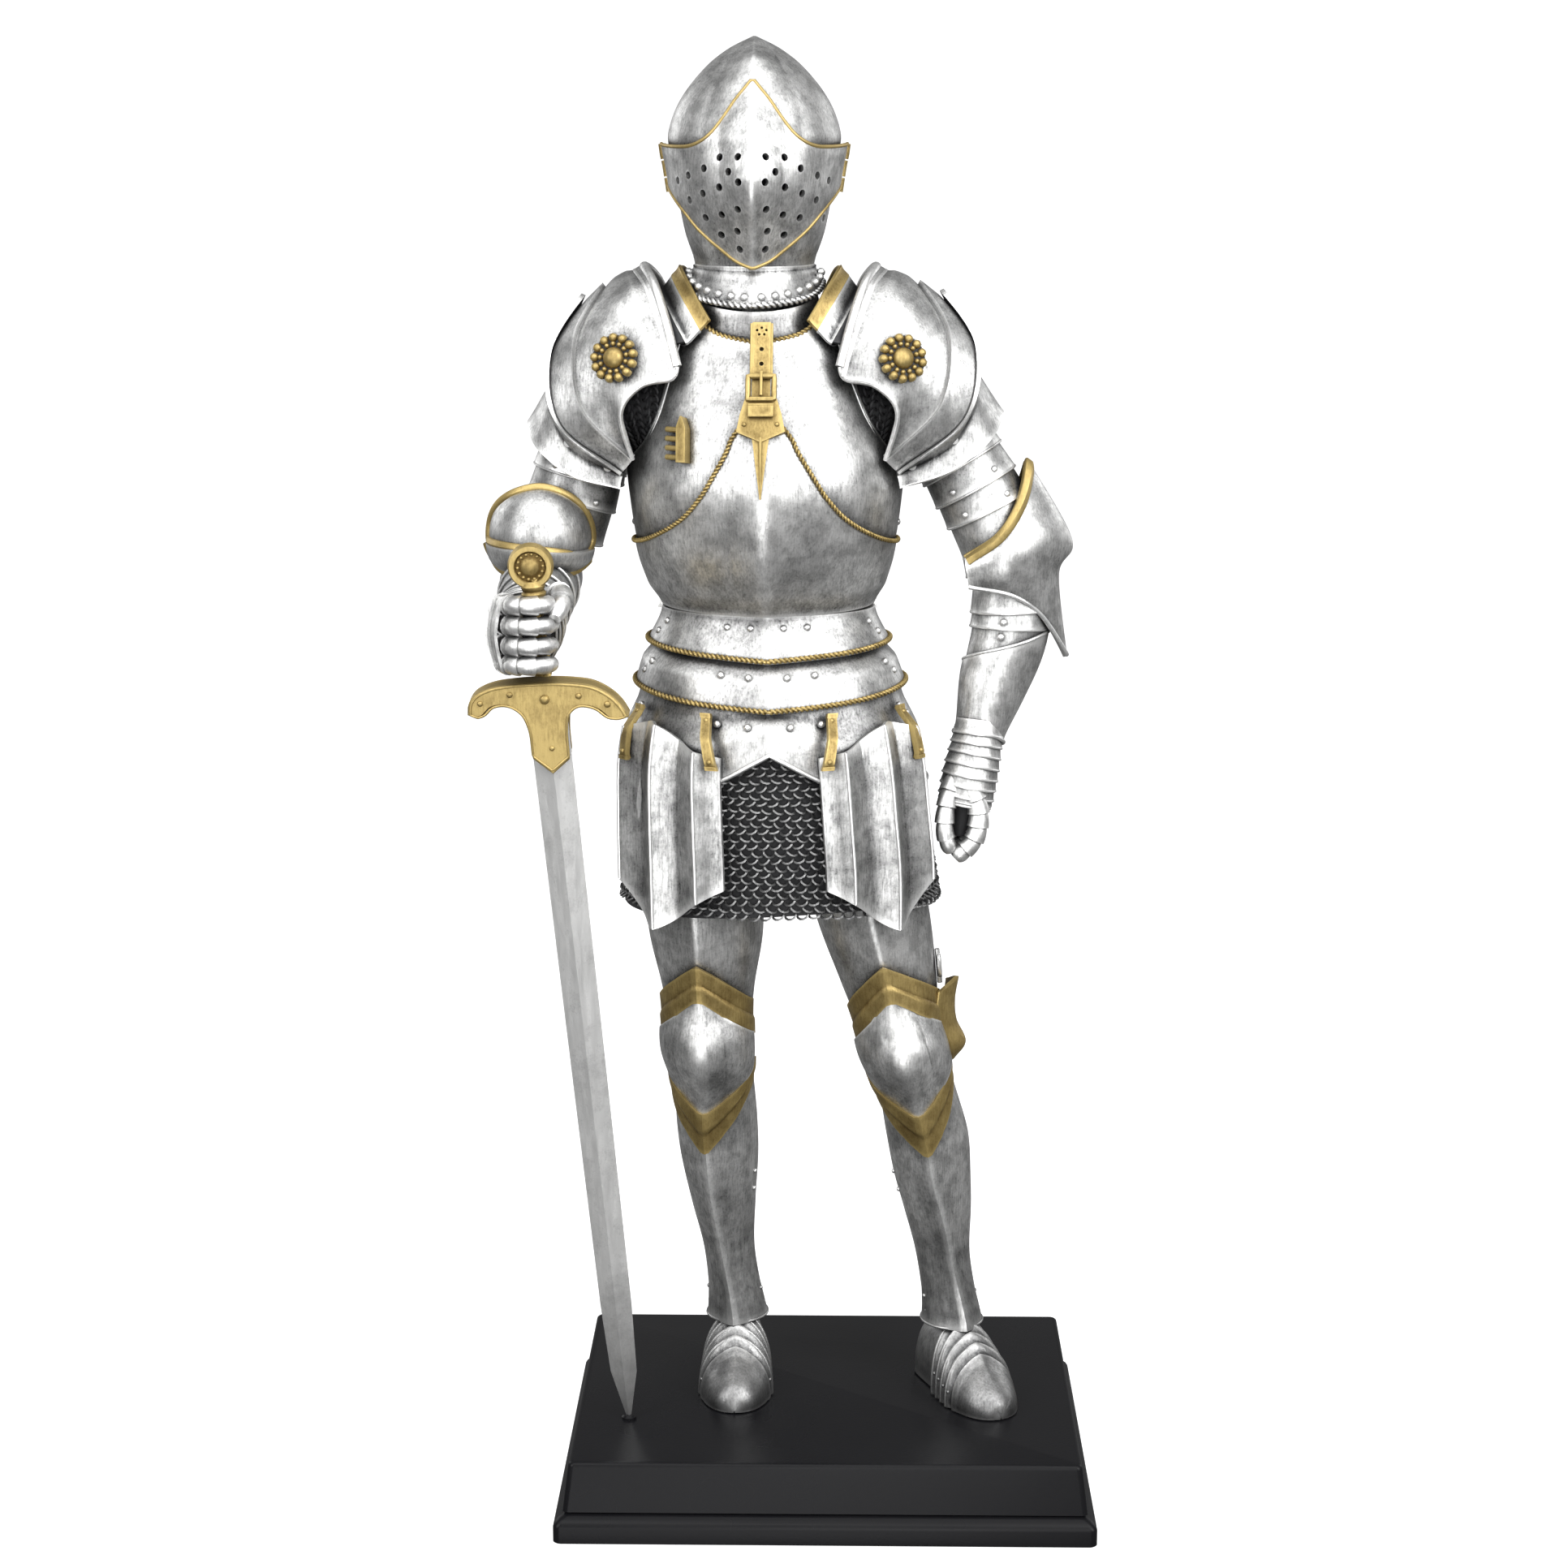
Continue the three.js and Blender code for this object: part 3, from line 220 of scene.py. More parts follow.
# Each metal: its name, bright and dark colours, roughness, and what else sets it apart.
METALS = {
    "plate": ("antique_silver", (0.86, 0.86, 0.85), (0.045, 0.045, 0.046), 0.36, {}),
    "blade": ("blade_steel", (0.78, 0.78, 0.77), (0.2, 0.2, 0.2), 0.42,
              {"reach": 5.0, "brushed": (0.5, 0.5, 0.05)}),
    "gilding": ("antique_gold", (0.46, 0.345, 0.135), (0.12, 0.075, 0.02), 0.42,
                {"reach": 5.0, "metallic": 0.75}),
    "mail": ("mail_rings", (0.2, 0.2, 0.2), (0.025, 0.025, 0.027), 0.4, {"reach": 1.6, "level": 0.9}),
    # Near black: painted shade, used for the mail's backing, the sleeves' rings, the palms and the rosettes'
    # beds.
    "dark": ("shadowed_mail", (0.04, 0.04, 0.042), (0.008, 0.008, 0.009), 0.6,
             {"reach": 3.0, "metallic": 0.5}),
}
GLOW = 1.06


def satin_black():
    n = Nodes("satin_black")
    speckle = n.noise(n.place(), 1.4, 4)
    smudge = n.noise(n.place(), 0.03, 3)
    tone = n.mix(smudge, colour(0.004, 0.004, 0.005), colour(0.009, 0.009, 0.01))
    n.put(n.shader.inputs["Base Color"], tone)
    n.put(n.shader.inputs["Roughness"], n.ramp(smudge, 0.3, 0.7, 0.24, 0.34))
    n.shader.inputs["Specular IOR Level"].default_value = 0.12
    n.bump(speckle, 0.04, 0.35)
    return n.material


def glowing(name):
    """A pale surface bright enough to show as white."""
    n = Nodes(name)
    tone = n.noise(n.place(), 0.004, 2)
    n.put(n.shader.inputs["Base Color"], n.mix(tone, colour(0.3, 0.3, 0.3), colour(0.31, 0.31, 0.31)))
    n.shader.inputs["Roughness"].default_value = 0.9
    n.shader.inputs["Specular IOR Level"].default_value = 0.0
    n.shader.inputs["Emission Color"].default_value = colour(1, 1, 1)
    n.shader.inputs["Emission Strength"].default_value = GLOW
    return n.material


def make_materials():
    made = {}
    for slot, (name, bright, dark, rough, more) in METALS.items():
        made[slot] = antiqued(name, colour(*bright), colour(*dark), rough, **more)
    made["plinth"] = satin_black()
    for name in ("pale_floor", "white_backdrop"):
        made[name] = glowing(name)
    return made


make_camera()
make_lights()
MATERIALS = make_materials()


# ---------- sections and forms ----------
def table(columns, rows):
    """A short table read by its first column: every named column there, eased between the rows."""
    names = columns.split(" ")
    data = np.array(sorted(rows, key=lambda r: r[0]), float)
    keys = data[:, 0]
    slopes = np.empty_like(data)
    for i in range(len(data)):
        lo, hi = max(i - 1, 0), min(i + 1, len(data) - 1)
        slopes[i] = (data[hi] - data[lo]) / (keys[hi] - keys[lo])

    def read(key):
        k = np.clip(np.asarray(key, float), keys[0], keys[-1])
        i = np.clip(np.searchsorted(keys, k, side="right") - 1, 0, len(keys) - 2)
        span = keys[i + 1] - keys[i]
        t = (k - keys[i]) / span
        h = (2 * t**3 - 3 * t**2 + 1, (t**3 - 2 * t**2 + t) * span, 3 * t**2 - 2 * t**3, (t**3 - t**2) * span)
        return {
            name: h[0] * data[i, c] + h[1] * slopes[i, c] + h[2] * data[i + 1, c] + h[3] * slopes[i + 1, c]
            for c, name in enumerate(names)
        }

    return read


def sin(a):
    return np.sin(np.radians(a))


def cos(a):
    return np.cos(np.radians(a))


def away(angle):
    return np.abs((np.asarray(angle, float) + 540) % 360 - 180)


def points(x, y, z):
    return np.stack(np.broadcast_arrays(x, y, z), -1).astype(float)


def unit(v):
    return v / np.maximum(np.linalg.norm(v, axis=-1, keepdims=True), 1e-12)


KEEL_WIDTH = 24


def ring_form(rows, keel=0.0):
    """Level rings, with a crest of the given height down the front."""
    def form(angle, z):
        r = rows(z)
        s, c = sin(angle), cos(angle)
        crest = keel * np.maximum(0, 1 - away(angle) / KEEL_WIDTH) ** 1.5
        across = r["half"] * s
        ahead = np.where(c > 0, r["front"], r["back"]) * c + crest
        turn = r.get("turn", 0.0)
        return points(
            r["x"] + across * cos(turn) + ahead * sin(turn),
            r["y"] + across * sin(turn) - ahead * cos(turn),
            z + 0 * across,
        )
    return form


def stride(form):
    """How far apart a form's slopes are taken: in degrees and millimetres, unless it says otherwise."""
    return getattr(form, "stride", 0.5)


def limb_form(rows, front=(0, -1, 0)):
    """Rings set square to a path, which the table gives with each ring's two radii."""
    read = table("k x y z wide deep", rows)

    def centre(k):
        r = read(k)
        return points(r["x"], r["y"], r["z"])

    def form(angle, k):
        r = read(k)
        along = unit(centre(np.asarray(k) + 0.01) - centre(np.asarray(k) - 0.01))
        side = unit(np.cross(along, np.array(front, float)))
        face = unit(np.cross(side, along))
        reach = (r["wide"] * sin(angle))[..., None]
        depth = (r["deep"] * cos(angle))[..., None]
        return centre(k) + side * reach + face * depth

    form.stride = 0.02
    return form


def curve_through(rail):
    """A smooth curve through points, by the share of its length. It runs on straight past its ends."""
    p = np.array(rail, float)
    p = np.vstack([2 * p[0] - p[1], p, 2 * p[-1] - p[-2]])
    knots = np.concatenate([[0], np.cumsum(np.sqrt(np.linalg.norm(np.diff(p, axis=0), axis=1)))])
    t = np.linspace(knots[1], knots[-2], 400)
    i = np.clip(np.searchsorted(knots, t, side="right") - 1, 1, len(p) - 3)

    def blend(a, b, ta, tb):
        w = ((t - ta) / (tb - ta))[:, None]
        return a * (1 - w) + b * w

    k = [knots[i + j] for j in (-1, 0, 1, 2)]
    q = [p[i + j] for j in (-1, 0, 1, 2)]
    a1, a2, a3 = (blend(q[j], q[j + 1], k[j], k[j + 1]) for j in range(3))
    b1, b2 = blend(a1, a2, k[0], k[2]), blend(a2, a3, k[1], k[3])
    line = blend(b1, b2, k[1], k[2])
    length = np.concatenate([[0], np.cumsum(np.linalg.norm(np.diff(line, axis=0), axis=1))])

    def at(share):
        s = np.asarray(share, float)
        d = np.clip(s, 0, 1) * length[-1]
        base = np.stack([np.interp(d, length, line[:, c]) for c in range(3)], -1)
        head, tail = unit(line[3] - line[0]), unit(line[-1] - line[-4])
        past = (s * length[-1] - d)[..., None]
        return base + np.where(past < 0, head, tail) * past
    return at


def rail_form(rails):
    """A smooth surface across rails: u runs along a rail and v from the first rail to the last."""
    curves = [curve_through(r) for r in rails]
    last = len(curves) - 1

    def form(u, v):
        u, v = np.broadcast_arrays(np.asarray(u, float), np.asarray(v, float))
        place = v * last
        i = np.clip(np.floor(place).astype(int), 0, last - 1)
        t = (place - i)[..., None]
        lines = np.stack([c(u) for c in curves])
        flat = lines.reshape(len(curves), -1, 3)
        cell = np.arange(flat.shape[1])

        def pick(k):
            return flat[np.clip(k, 0, last).ravel(), cell].reshape(*u.shape, 3)

        p0, p1, p2, p3 = (pick(i + j) for j in (-1, 0, 1, 2))
        m1, m2 = (p2 - p0) / 2, (p3 - p1) / 2
        return (
            p1 * (2 * t**3 - 3 * t**2 + 1) + m1 * (t**3 - 2 * t**2 + t)
            + p2 * (3 * t**2 - 2 * t**3) + m2 * (t**3 - t**2)
        )

    form.stride = 0.01
    return form


def turned(form):
    """The same surface with its rails run the other way, so that it faces outwards on the right side."""
    def back(u, v):
        return form(1 - np.asarray(u, float), v)

    back.stride = stride(form)
    return back


def normal(surface, u, v):
    step = stride(surface)
    du = surface(u + step, v) - surface(u - step, v)
    dv = surface(u, v + step) - surface(u, v - step)
    return unit(np.cross(du, dv))


def lifted(surface, u, v, out):
    u, v = np.broadcast_arrays(np.asarray(u, float), np.asarray(v, float))
    return surface(u, v) + normal(surface, u, v) * np.asarray(out)[..., None]


# ---------- meshes ----------
class Skin:
    """Gathers closed shells, then makes one object of them."""

    def __init__(self):
        self.vertices, self.faces, self.count = [], [], 0

    def add(self, vertices, faces):
        """Adds a closed shell, turned so that its faces look outwards."""
        vertices = np.asarray(vertices, float).reshape(-1, 3)
        volume = 0.0
        for size in {len(f) for f in faces}:
            corner = vertices[np.array([f for f in faces if len(f) == size])]
            for k in range(1, size - 1):
                volume += np.einsum("ij,ij->", corner[:, 0], np.cross(corner[:, k], corner[:, k + 1]))
        if volume < 0:
            faces = [f[::-1] for f in faces]
        self.vertices.append(vertices)
        self.faces += [[i + self.count for i in f] for f in faces]
        self.count += len(vertices)

    def make(self, name, material, *nodes, sharp=38):
        mesh = bpy.data.meshes.new(name)
        mesh.from_pydata(np.vstack(self.vertices) * MM, [], self.faces)
        mesh.validate()
        mesh.shade_smooth()
        mesh.set_sharp_from_angle(angle=math.radians(sharp))
        mesh.materials.append(MATERIALS[material])
        made = bpy.data.objects.new(name, mesh)
        bpy.context.scene.collection.objects.link(made)
        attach(made, "root")
        if nodes:
            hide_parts(*nodes)
        return made


def grid_faces(rows, columns, around, start=0, flip=False):
    wrap = columns if around else columns + 1
    faces = []
    for j in range(rows):
        for i in range(columns):
            a, b = start + j * wrap + i, start + j * wrap + (i + 1) % wrap
            face = [a, b, b + wrap, a + wrap]
            faces.append(face[::-1] if flip else face)
    return faces


def wall(skin, outer, inner, around):
    """A closed wall between two grids of points."""
    rows, columns = outer.shape[0] - 1, outer.shape[1] - 1
    if around:
        outer, inner = outer[:, :-1], inner[:, :-1]
    wrap = outer.shape[1]
    base = outer.shape[0] * wrap
    faces = grid_faces(rows, columns, around) + grid_faces(rows, columns, around, base, True)
    for i in range(columns):
        k = (i + 1) % wrap
        top = rows * wrap
        faces.append([base + i, base + k, k, i])
        faces.append([top + i, top + k, base + top + k, base + top + i])
    if not around:
        for j in range(rows):
            a, b = j * wrap, (j + 1) * wrap
            c, d = a + wrap - 1, b + wrap - 1
            faces.append([base + a, a, b, base + b])
            faces.append([c, base + c, base + d, d])
    skin.add(np.concatenate([outer.reshape(-1, 3), inner.reshape(-1, 3)]), faces)


def at(edge, u):
    return edge(u) if callable(edge) else edge + 0 * u


def plate(skin, surface, span, low, high, rows=((0, 0), (1, 0)), swell=None, thick=WALL, size=(64, 16)):
    """A plate across span, between its low and high edges. rows are [share of its height, lift]."""
    across = np.linspace(span[0], span[1], size[0] + 1)
    up = np.linspace(0, 1, size[1] + 1)
    u, t = np.meshgrid(across, up)
    bottom, top = at(low, u), at(high, u)
    v = bottom + (top - bottom) * t
    shares, lifts = zip(*rows)
    lift = np.interp(t, shares, lifts)
    if swell is not None:
        lift = lift + swell(u, v)
    wall(skin, lifted(surface, u, v, lift), lifted(surface, u, v, lift - thick), span == AROUND)


def frames_along(line, closed):
    if closed:
        along = unit(np.roll(line, -1, 0) - np.roll(line, 1, 0))
    else:
        along = unit(np.gradient(line, axis=0))
    side = np.cross(along[0], [0.13, 0.31, 0.94])
    sides = []
    for a in along:
        side = side - a * (side @ a)
        side = side / max(np.linalg.norm(side), 1e-9)
        sides.append(side)
    sides = np.array(sides)
    return sides, np.cross(along, sides)


def tube_faces(count, sides, closed):
    """Quads round a run of rings, which closes on itself or is capped at both ends."""
    faces = []
    for j in range(count if closed else count - 1):
        k = (j + 1) % count
        for i in range(sides):
            m = (i + 1) % sides
            faces.append([j * sides + i, j * sides + m, k * sides + m, k * sides + i])
    if not closed:
        faces.append(list(range(sides))[::-1])
        faces.append([(count - 1) * sides + i for i in range(sides)])
    return faces


def rod(skin, line, radius, sides=10, closed=False, twist=0.0, strand=0.0):
    """A round bar along a line. With twist, its section turns as a rope of two strands."""
    line = np.asarray(line, float)
    side, face = frames_along(line, closed)
    step = np.linalg.norm(np.diff(line, axis=0), axis=1)
    length = np.concatenate([[0], np.cumsum(step)])
    a = np.linspace(0, 2 * math.pi, sides, endpoint=False)
    r = np.broadcast_to(np.asarray(radius, float), (len(line),))[:, None]
    r = r * (1 + strand * np.abs(np.cos(a[None] - twist * length[:, None])) - strand)
    across, ahead = (r * np.cos(a))[..., None], (r * np.sin(a))[..., None]
    ring = line[:, None] + side[:, None] * across + face[:, None] * ahead
    skin.add(ring, tube_faces(len(line), sides, closed))


def edge_line(surface, span, edge, out, count=120):
    u = np.linspace(span[0], span[1], count)
    return lifted(surface, u, at(edge, u), np.full(count, out))


def even_line(line, pitch, closed=False):
    """The same line with points an even pitch apart."""
    line = np.asarray(line, float)
    if closed:
        line = np.vstack([line, line[:1]])
    length = np.concatenate([[0], np.cumsum(np.linalg.norm(np.diff(line, axis=0), axis=1))])
    count = max(3, int(round(length[-1] / pitch)) + (0 if closed else 1))
    s = np.linspace(0, length[-1], count, endpoint=not closed)
    return np.stack([np.interp(s, length, column) for column in line.T], -1)


def rope(skin, line, radius, closed=False):
    """A twisted rope of two strands laid along a line."""
    fine = even_line(line, radius * 0.34, closed)
    rod(skin, fine, radius, 12, closed, twist=math.pi / (radius * 1.75), strand=0.6)


def dome(skin, centre, facing, radius, height, sides=14, rings=5, foot=0.0):
    """A round-headed stud on a surface."""
    facing = unit(np.asarray(facing, float))
    side = unit(np.cross(facing, [0.3, 0.2, 0.93]))
    other = np.cross(facing, side)
    a = np.linspace(0, 2 * math.pi, sides, endpoint=False)
    rows = [(radius, -0.5)] + ([(radius, foot)] if foot else [])
    for t in np.linspace(0, math.pi / 2, rings + 1)[:-1]:
        rows.append((radius * math.cos(t), foot + height * math.sin(t)))
    ring = [
        centre + r * (side * np.cos(a)[:, None] + other * np.sin(a)[:, None]) + facing * h for r, h in rows
    ]
    top = centre + facing * (height + foot)
    n = len(ring)
    faces = grid_faces(n - 1, sides, True)
    faces += [[(n - 1) * sides + i, (n - 1) * sides + (i + 1) % sides, n * sides] for i in range(sides)]
    faces.append(list(range(sides))[::-1])
    skin.add(np.vstack([*ring, top[None]]), faces)


def stud_at(surface, u, v, out=0.0):
    """A place on a form, moved out by out, and the way that the form faces there."""
    u, v = np.array([float(u)]), np.array([float(v)])
    return lifted(surface, u, v, np.array([out]))[0], normal(surface, u, v)[0]


def studs(skin, surface, places, radius=0.75, height=0.55, out=0.0):
    for u, v in places:
        dome(skin, *stud_at(surface, u, v, out), radius, height)


def loft(skin, rings):
    """A closed skin over rings of equal size."""
    rings = np.asarray(rings, float)
    skin.add(rings, tube_faces(*rings.shape[:2], False))


def edging(skin, surface, span, edge, radius, out=-0.3, sides=10, count=120):
    """A round roll laid along an edge of a form."""
    closed = span == AROUND
    line = edge_line(surface, span, edge, out, count)
    rod(skin, even_line(line[:-1] if closed else line, 0.9, closed), radius, sides, closed)


def roped(skin, surface, span, edge, radius, out=0.0, count=160):
    """A rope laid along an edge of a form."""
    closed = span == AROUND
    line = edge_line(surface, span, edge, out, count)
    rope(skin, line[:-1] if closed else line, radius, closed)


def upright(surface, u, low, high, out):
    """A line on a form at one angle, between two heights."""
    v = np.linspace(low, high, 30)
    return lifted(surface, u + 0 * v, v, out + 0 * v)


def trim(skin, surface, path, half, lift, thick, count=90, closed=False):
    """A flat band with a crowned face laid along a path on a form. path is a list of (u, v)."""
    route = [(u, v, 0.0) for u, v in path]
    if closed:
        route.append(route[0])
    flat = curve_through(route)(np.linspace(0, 1, count))
    u, v = flat[:, 0], flat[:, 1]
    line = lifted(surface, u, v, lift + 0 * u)
    up = normal(surface, u, v)
    along = unit(np.gradient(line, axis=0))
    side = np.cross(up, along)
    section = [(-1, -thick), (-1, -0.3), (-0.8, 0), (0, 0.35), (0.8, 0), (1, -0.3), (1, -thick)]
    loft(skin, np.stack([line + side * half * a + up * b for a, b in section], 1))


def drill(piece, holes):
    """Cuts round holes, each a pair of ends and a radius."""
    skin = Skin()
    for start, end, radius in holes:
        rod(skin, np.array([start, end]), radius, 18)
    mesh = bpy.data.meshes.new("drill")
    mesh.from_pydata(np.vstack(skin.vertices) * MM, [], skin.faces)
    tool = bpy.data.objects.new("drill", mesh)
    bpy.context.scene.collection.objects.link(tool)
    cut = piece.modifiers.new("holes", "BOOLEAN")
    cut.operation, cut.object, cut.solver = "DIFFERENCE", tool, "EXACT"
    depsgraph = bpy.context.evaluated_depsgraph_get()
    done = bpy.data.meshes.new_from_object(piece.evaluated_get(depsgraph))
    piece.modifiers.clear()
    old, piece.data = piece.data, done
    bpy.data.meshes.remove(old)
    bpy.data.objects.remove(tool)
    bpy.data.meshes.remove(mesh)
    done.set_sharp_from_angle(angle=math.radians(38))


def through(surface, u, v, radius):
    """A hole through a plate, from below its wall to above it."""
    return (stud_at(surface, u, v, -2.5)[0], stud_at(surface, u, v, 1.5)[0], radius)


# ---------- plinth ----------
# The plinth's tiers: node, name, profile of heights and set-backs from the foot up, and corner radius.
TIERS = [
    ("plinth_moulding", "plinth_foot_moulding", [
        (0, 0.25), (0.25, 0), (3.6, 0), (4.2, 0.12), (5, 0.6), (5.6, 1.3), (6, 2.1), (6.3, 2.5), (6.5, 3),
    ], 1.6),
    ("plinth_block", "plinth_top_block",
     [(0, 0), (0.45, 0.06), (10.2, 1.3), (10.75, 1.45), (11.1, 1.75), (11.2, 2.2)], 1.4),
]


def rounded(half, z, corner):
    """A level rectangle with round corners."""
    ring = []
    for sx, sy, start in ((1, 1, 0), (-1, 1, 90), (-1, -1, 180), (1, -1, 270)):
        x, y = sx * (half[0] - corner), sy * (half[1] - corner)
        ring += [[x + corner * cos(a), y + corner * sin(a), z] for a in np.linspace(start, start + 90, 7)]
    return ring


def plinth():
    for node, name, profile, corner in TIERS:
        low, high = (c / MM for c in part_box(node))
        skin = Skin()
        rise = (high.z - low.z) / profile[-1][0]
        loft(skin, [rounded((high.x - i, high.y - i), low.z + z * rise, corner) for z, i in profile])
        skin.make(name, "plinth", node)


# ---------- helmet ----------
HELM_X = -16.4
APEX = 330.5
HELM_FOOT = 280.3
# The skull's face opening: its height, its rise at the front and its reach to each side.
BROW = {"z": 304.5, "rise": 4.5, "reach": 93}
helm_rows = table("z x y half front back", [
    [271, HELM_X, -0.5, 14.6, 15, 14.8],
    [274, HELM_X, -0.2, 13.6, 14, 14.2],
    [281, HELM_X, 0, 13.2, 13.6, 14.6],
    [288, HELM_X, 0, 15.4, 15.6, 16.4],
    [296, HELM_X, 0, 17, 17.6, 18.8],
    [303, HELM_X, 0, 18.1, 18, 20.2],
    [306, HELM_X, 0, 18.7, 17.6, 20.3],
    [310, HELM_X, 0, 18.9, 17, 20.2],
    [317, HELM_X, 0.6, 16.2, 14.4, 17.6],
    [324, HELM_X, 1.4, 10.6, 10, 12.2],
    [328, HELM_X, 1.8, 5.4, 5.4, 6.4],
    [APEX, HELM_X, 2, 0.3, 0.3, 0.3],
])
helm_form = ring_form(helm_rows, 0.8)
visor_top = table("angle z", [
    [0, 320.2], [11, 316.3], [18, 312.8], [25, 309.8], [35, 307.8], [47, 307], [88, 307.6],
])
visor_foot = table("angle z", [
    [0, 281.4], [13, 283], [25, 285.5], [42, 289.4], [56, 293.2], [72, 296.6], [88, 298.8],
])
VISOR = {"lift": 1.6, "reach": 3.4, "level": 300, "spread": 10, "keel": 2.0, "width": 20, "end": 87}
# Breaths, a row for each pair: angle from the keel, and height.
BREATHS = [
    (8, 304.7), (20, 304.6), (32, 302.5), (46, 301), (58.5, 299.9), (14.5, 301.8), (8, 299.7), (21.5, 298.6),
    (34.5, 297.3), (47.5, 295.9), (9, 294.2), (21, 293), (34.5, 292.3), (10, 289.6), (23, 288.7), (9, 285.8),
]
BREATH_R = 0.85


def visor_form(angle, z):
    angle, z = np.broadcast_arrays(np.asarray(angle, float), np.asarray(z, float))
    swell = VISOR["reach"] * np.exp(-(((z - VISOR["level"]) / VISOR["spread"]) ** 2))
    keel = VISOR["keel"] * np.maximum(0, 1 - np.abs(angle) / VISOR["width"])
    point = lifted(helm_form, angle, z, VISOR["lift"] + 0 * z).copy()
    point[..., 1] -= swell * np.maximum(0, cos(angle)) ** 3 + keel
    return point


def comb(angle, z):
    """A crease down the middle of the skull, front and back."""
    fade = np.clip((APEX - z) / 6, 0, 1)
    return 1.7 * fade * np.maximum(0, 1 - np.minimum(away(angle), 180 - away(angle)) / 34)


def face_rim(angle):
    open_face = BROW["z"] + BROW["rise"] * np.maximum(0, cos(angle)) ** 3
    return np.where(away(angle) < BROW["reach"], open_face, HELM_FOOT)


def visor_foot_at(angle):
    return visor_foot(np.abs(angle))["z"]


def visor_top_at(angle):
    return visor_top(np.abs(angle))["z"]


def helmet():
    skin = Skin()
    plate(skin, ring_form(helm_rows), AROUND, face_rim, APEX, size=(144, 32), swell=comb)
    skin.make("skull", "plate", "helmet_skull")

    end = VISOR["end"]
    skin = Skin()
    plate(skin, visor_form, (-end, end), visor_foot_at, visor_top_at, size=(120, 32))
    visor = skin.make("visor", "plate", "helmet_visor")
    drill(visor, [through(visor_form, s * a, z, BREATH_R) for s in (-1, 1) for a, z in BREATHS])
    skin = Skin()
    for edge in (visor_top_at, visor_foot_at):
        edging(skin, visor_form, (-end, end), edge, 0.42, -0.1)
    skin.make("visor_piping", "gilding")

    skin = Skin()
    rows = ((0, -0.15), (1, -0.15))
    plate(skin, helm_form, (-94, 94), HELM_FOOT, lambda a: visor_foot_at(a) + 2, rows, size=(100, 11))
    plate(skin, helm_form, (90, 270), 279.6, 281.2, ((0, 0.5), (1, 0.4)), size=(96, 4))
    bevor = skin.make("bevor", "plate", "helmet_bevor")
    drill(bevor, [through(helm_form, 72, 291.5, BREATH_R)])

    def flange_foot(a):
        return 277.4 - 5 * np.maximum(0, cos(a)) - 2 * np.maximum(0, -cos(a))

    skin = Skin()
    rows = ((0, 2.2), (0.3, 1.6), (0.6, 0.8), (0.8, 0.5), (0.86, 0.1), (1, 0))
    plate(skin, helm_form, AROUND, flange_foot, 281.4, rows, size=(120, 16))
    studs(skin, helm_form, [(a, flange_foot(a) + 2.2) for a in np.arange(6, 360, 12)], 0.95, 0.9, 1.6)
    roped(skin, helm_form, AROUND, flange_foot, 0.8, 1.9)
    skin.make("neck_flange", "plate", "helmet_collar")

    for name, side in (("right", -1), ("left", 1)):
        skin = Skin()
        leaf = side * 94
        plate(skin, helm_form, (leaf - 5, leaf + 5), 297.7, 307.3, ((0, 1.5), (1, 1.5)), size=(8, 5))
        for low, high in ((297.3, 300.3), (300.6, 304.2), (304.5, 307.6)):
            rod(skin, upright(helm_form, side * 90, low, high, 1.4), 0.85, 14)
        skin.make("visor_hinge_pin_" + name, "gilding", "visor_hinge_" + name)


# ---------- body ----------
torso_rows = table("z x y half front back", [
    [130, -11.2, 0, 35.8, 26.5, 25.5],
    [148, -11.4, 0, 35.8, 27.6, 26],
    [160, -12, 0, 35.2, 27.8, 26],
    [173, -12.6, 0, 34.2, 27, 25],
    [186, -12.9, 0, 31.2, 24.4, 22],
    [197, -13.3, 0, 27.6, 21, 18.4],
    [205.5, -13.4, 0, 24, 17.6, 15.2],
    [212, -13.7, 0, 26.6, 20.8, 16.8],
    [220, -13.9, 0, 29, 24, 18.4],
    [231, -14, 0, 30.2, 26, 19.6],
    [241, -14.2, 0, 28.8, 25, 20],
    [250, -14.6, 0, 26.4, 22, 19.5],
    [258, -15, 0, 24.6, 18.4, 18],
    [266, -15.2, 0, 22.8, 14.6, 15.5],
    [274, -15.2, 0, 20, 11, 12.6],
])
# Feet of the breastplate, the plackart and the backplate.
BREAST_FOOT, BELLY_FOOT, BACK_FOOT = 208.5, 205.6, 204.4
torso_form = ring_form(torso_rows, 1.2)
smooth_torso = ring_form(torso_rows)
neckline = table("angle z", [
    [0, 265], [22, 266.6], [38, 269], [48, 267], [53, 259], [58, 251], [67, 243], [88, 237.5],
])
plackart_top = table("angle z", [
    [0, 251], [11, 245], [17, 239.4], [25, 232.6], [35, 227.4], [52, 223.2], [70, 221.2], [88, 220.8],
])


def front_neck(a):
    return neckline(np.abs(a))["z"]


def back_neck(a):
    return neckline(np.abs(a - 180))["z"] + 1


def plackart_edge(a):
    return plackart_top(np.abs(a))["z"]


def armhole(a, z):
    """How far the breastplate's sides stand out below the arms."""
    return 1.7 * (np.abs(a) / 88) ** 4 * np.exp(-(((z - 240) / 7.5) ** 2))


def hug(a):
    """The plackart and its rope close on the breastplate at the sides, and crease at the middle."""
    return 0.9 * np.maximum(0, 1 - np.abs(a) / 13) - 2.0 * (np.abs(a) / 88) ** 4


def hugged(a, z):
    a, z = np.broadcast_arrays(np.asarray(a, float), np.asarray(z, float))
    return lifted(torso_form, a, z, hug(a))


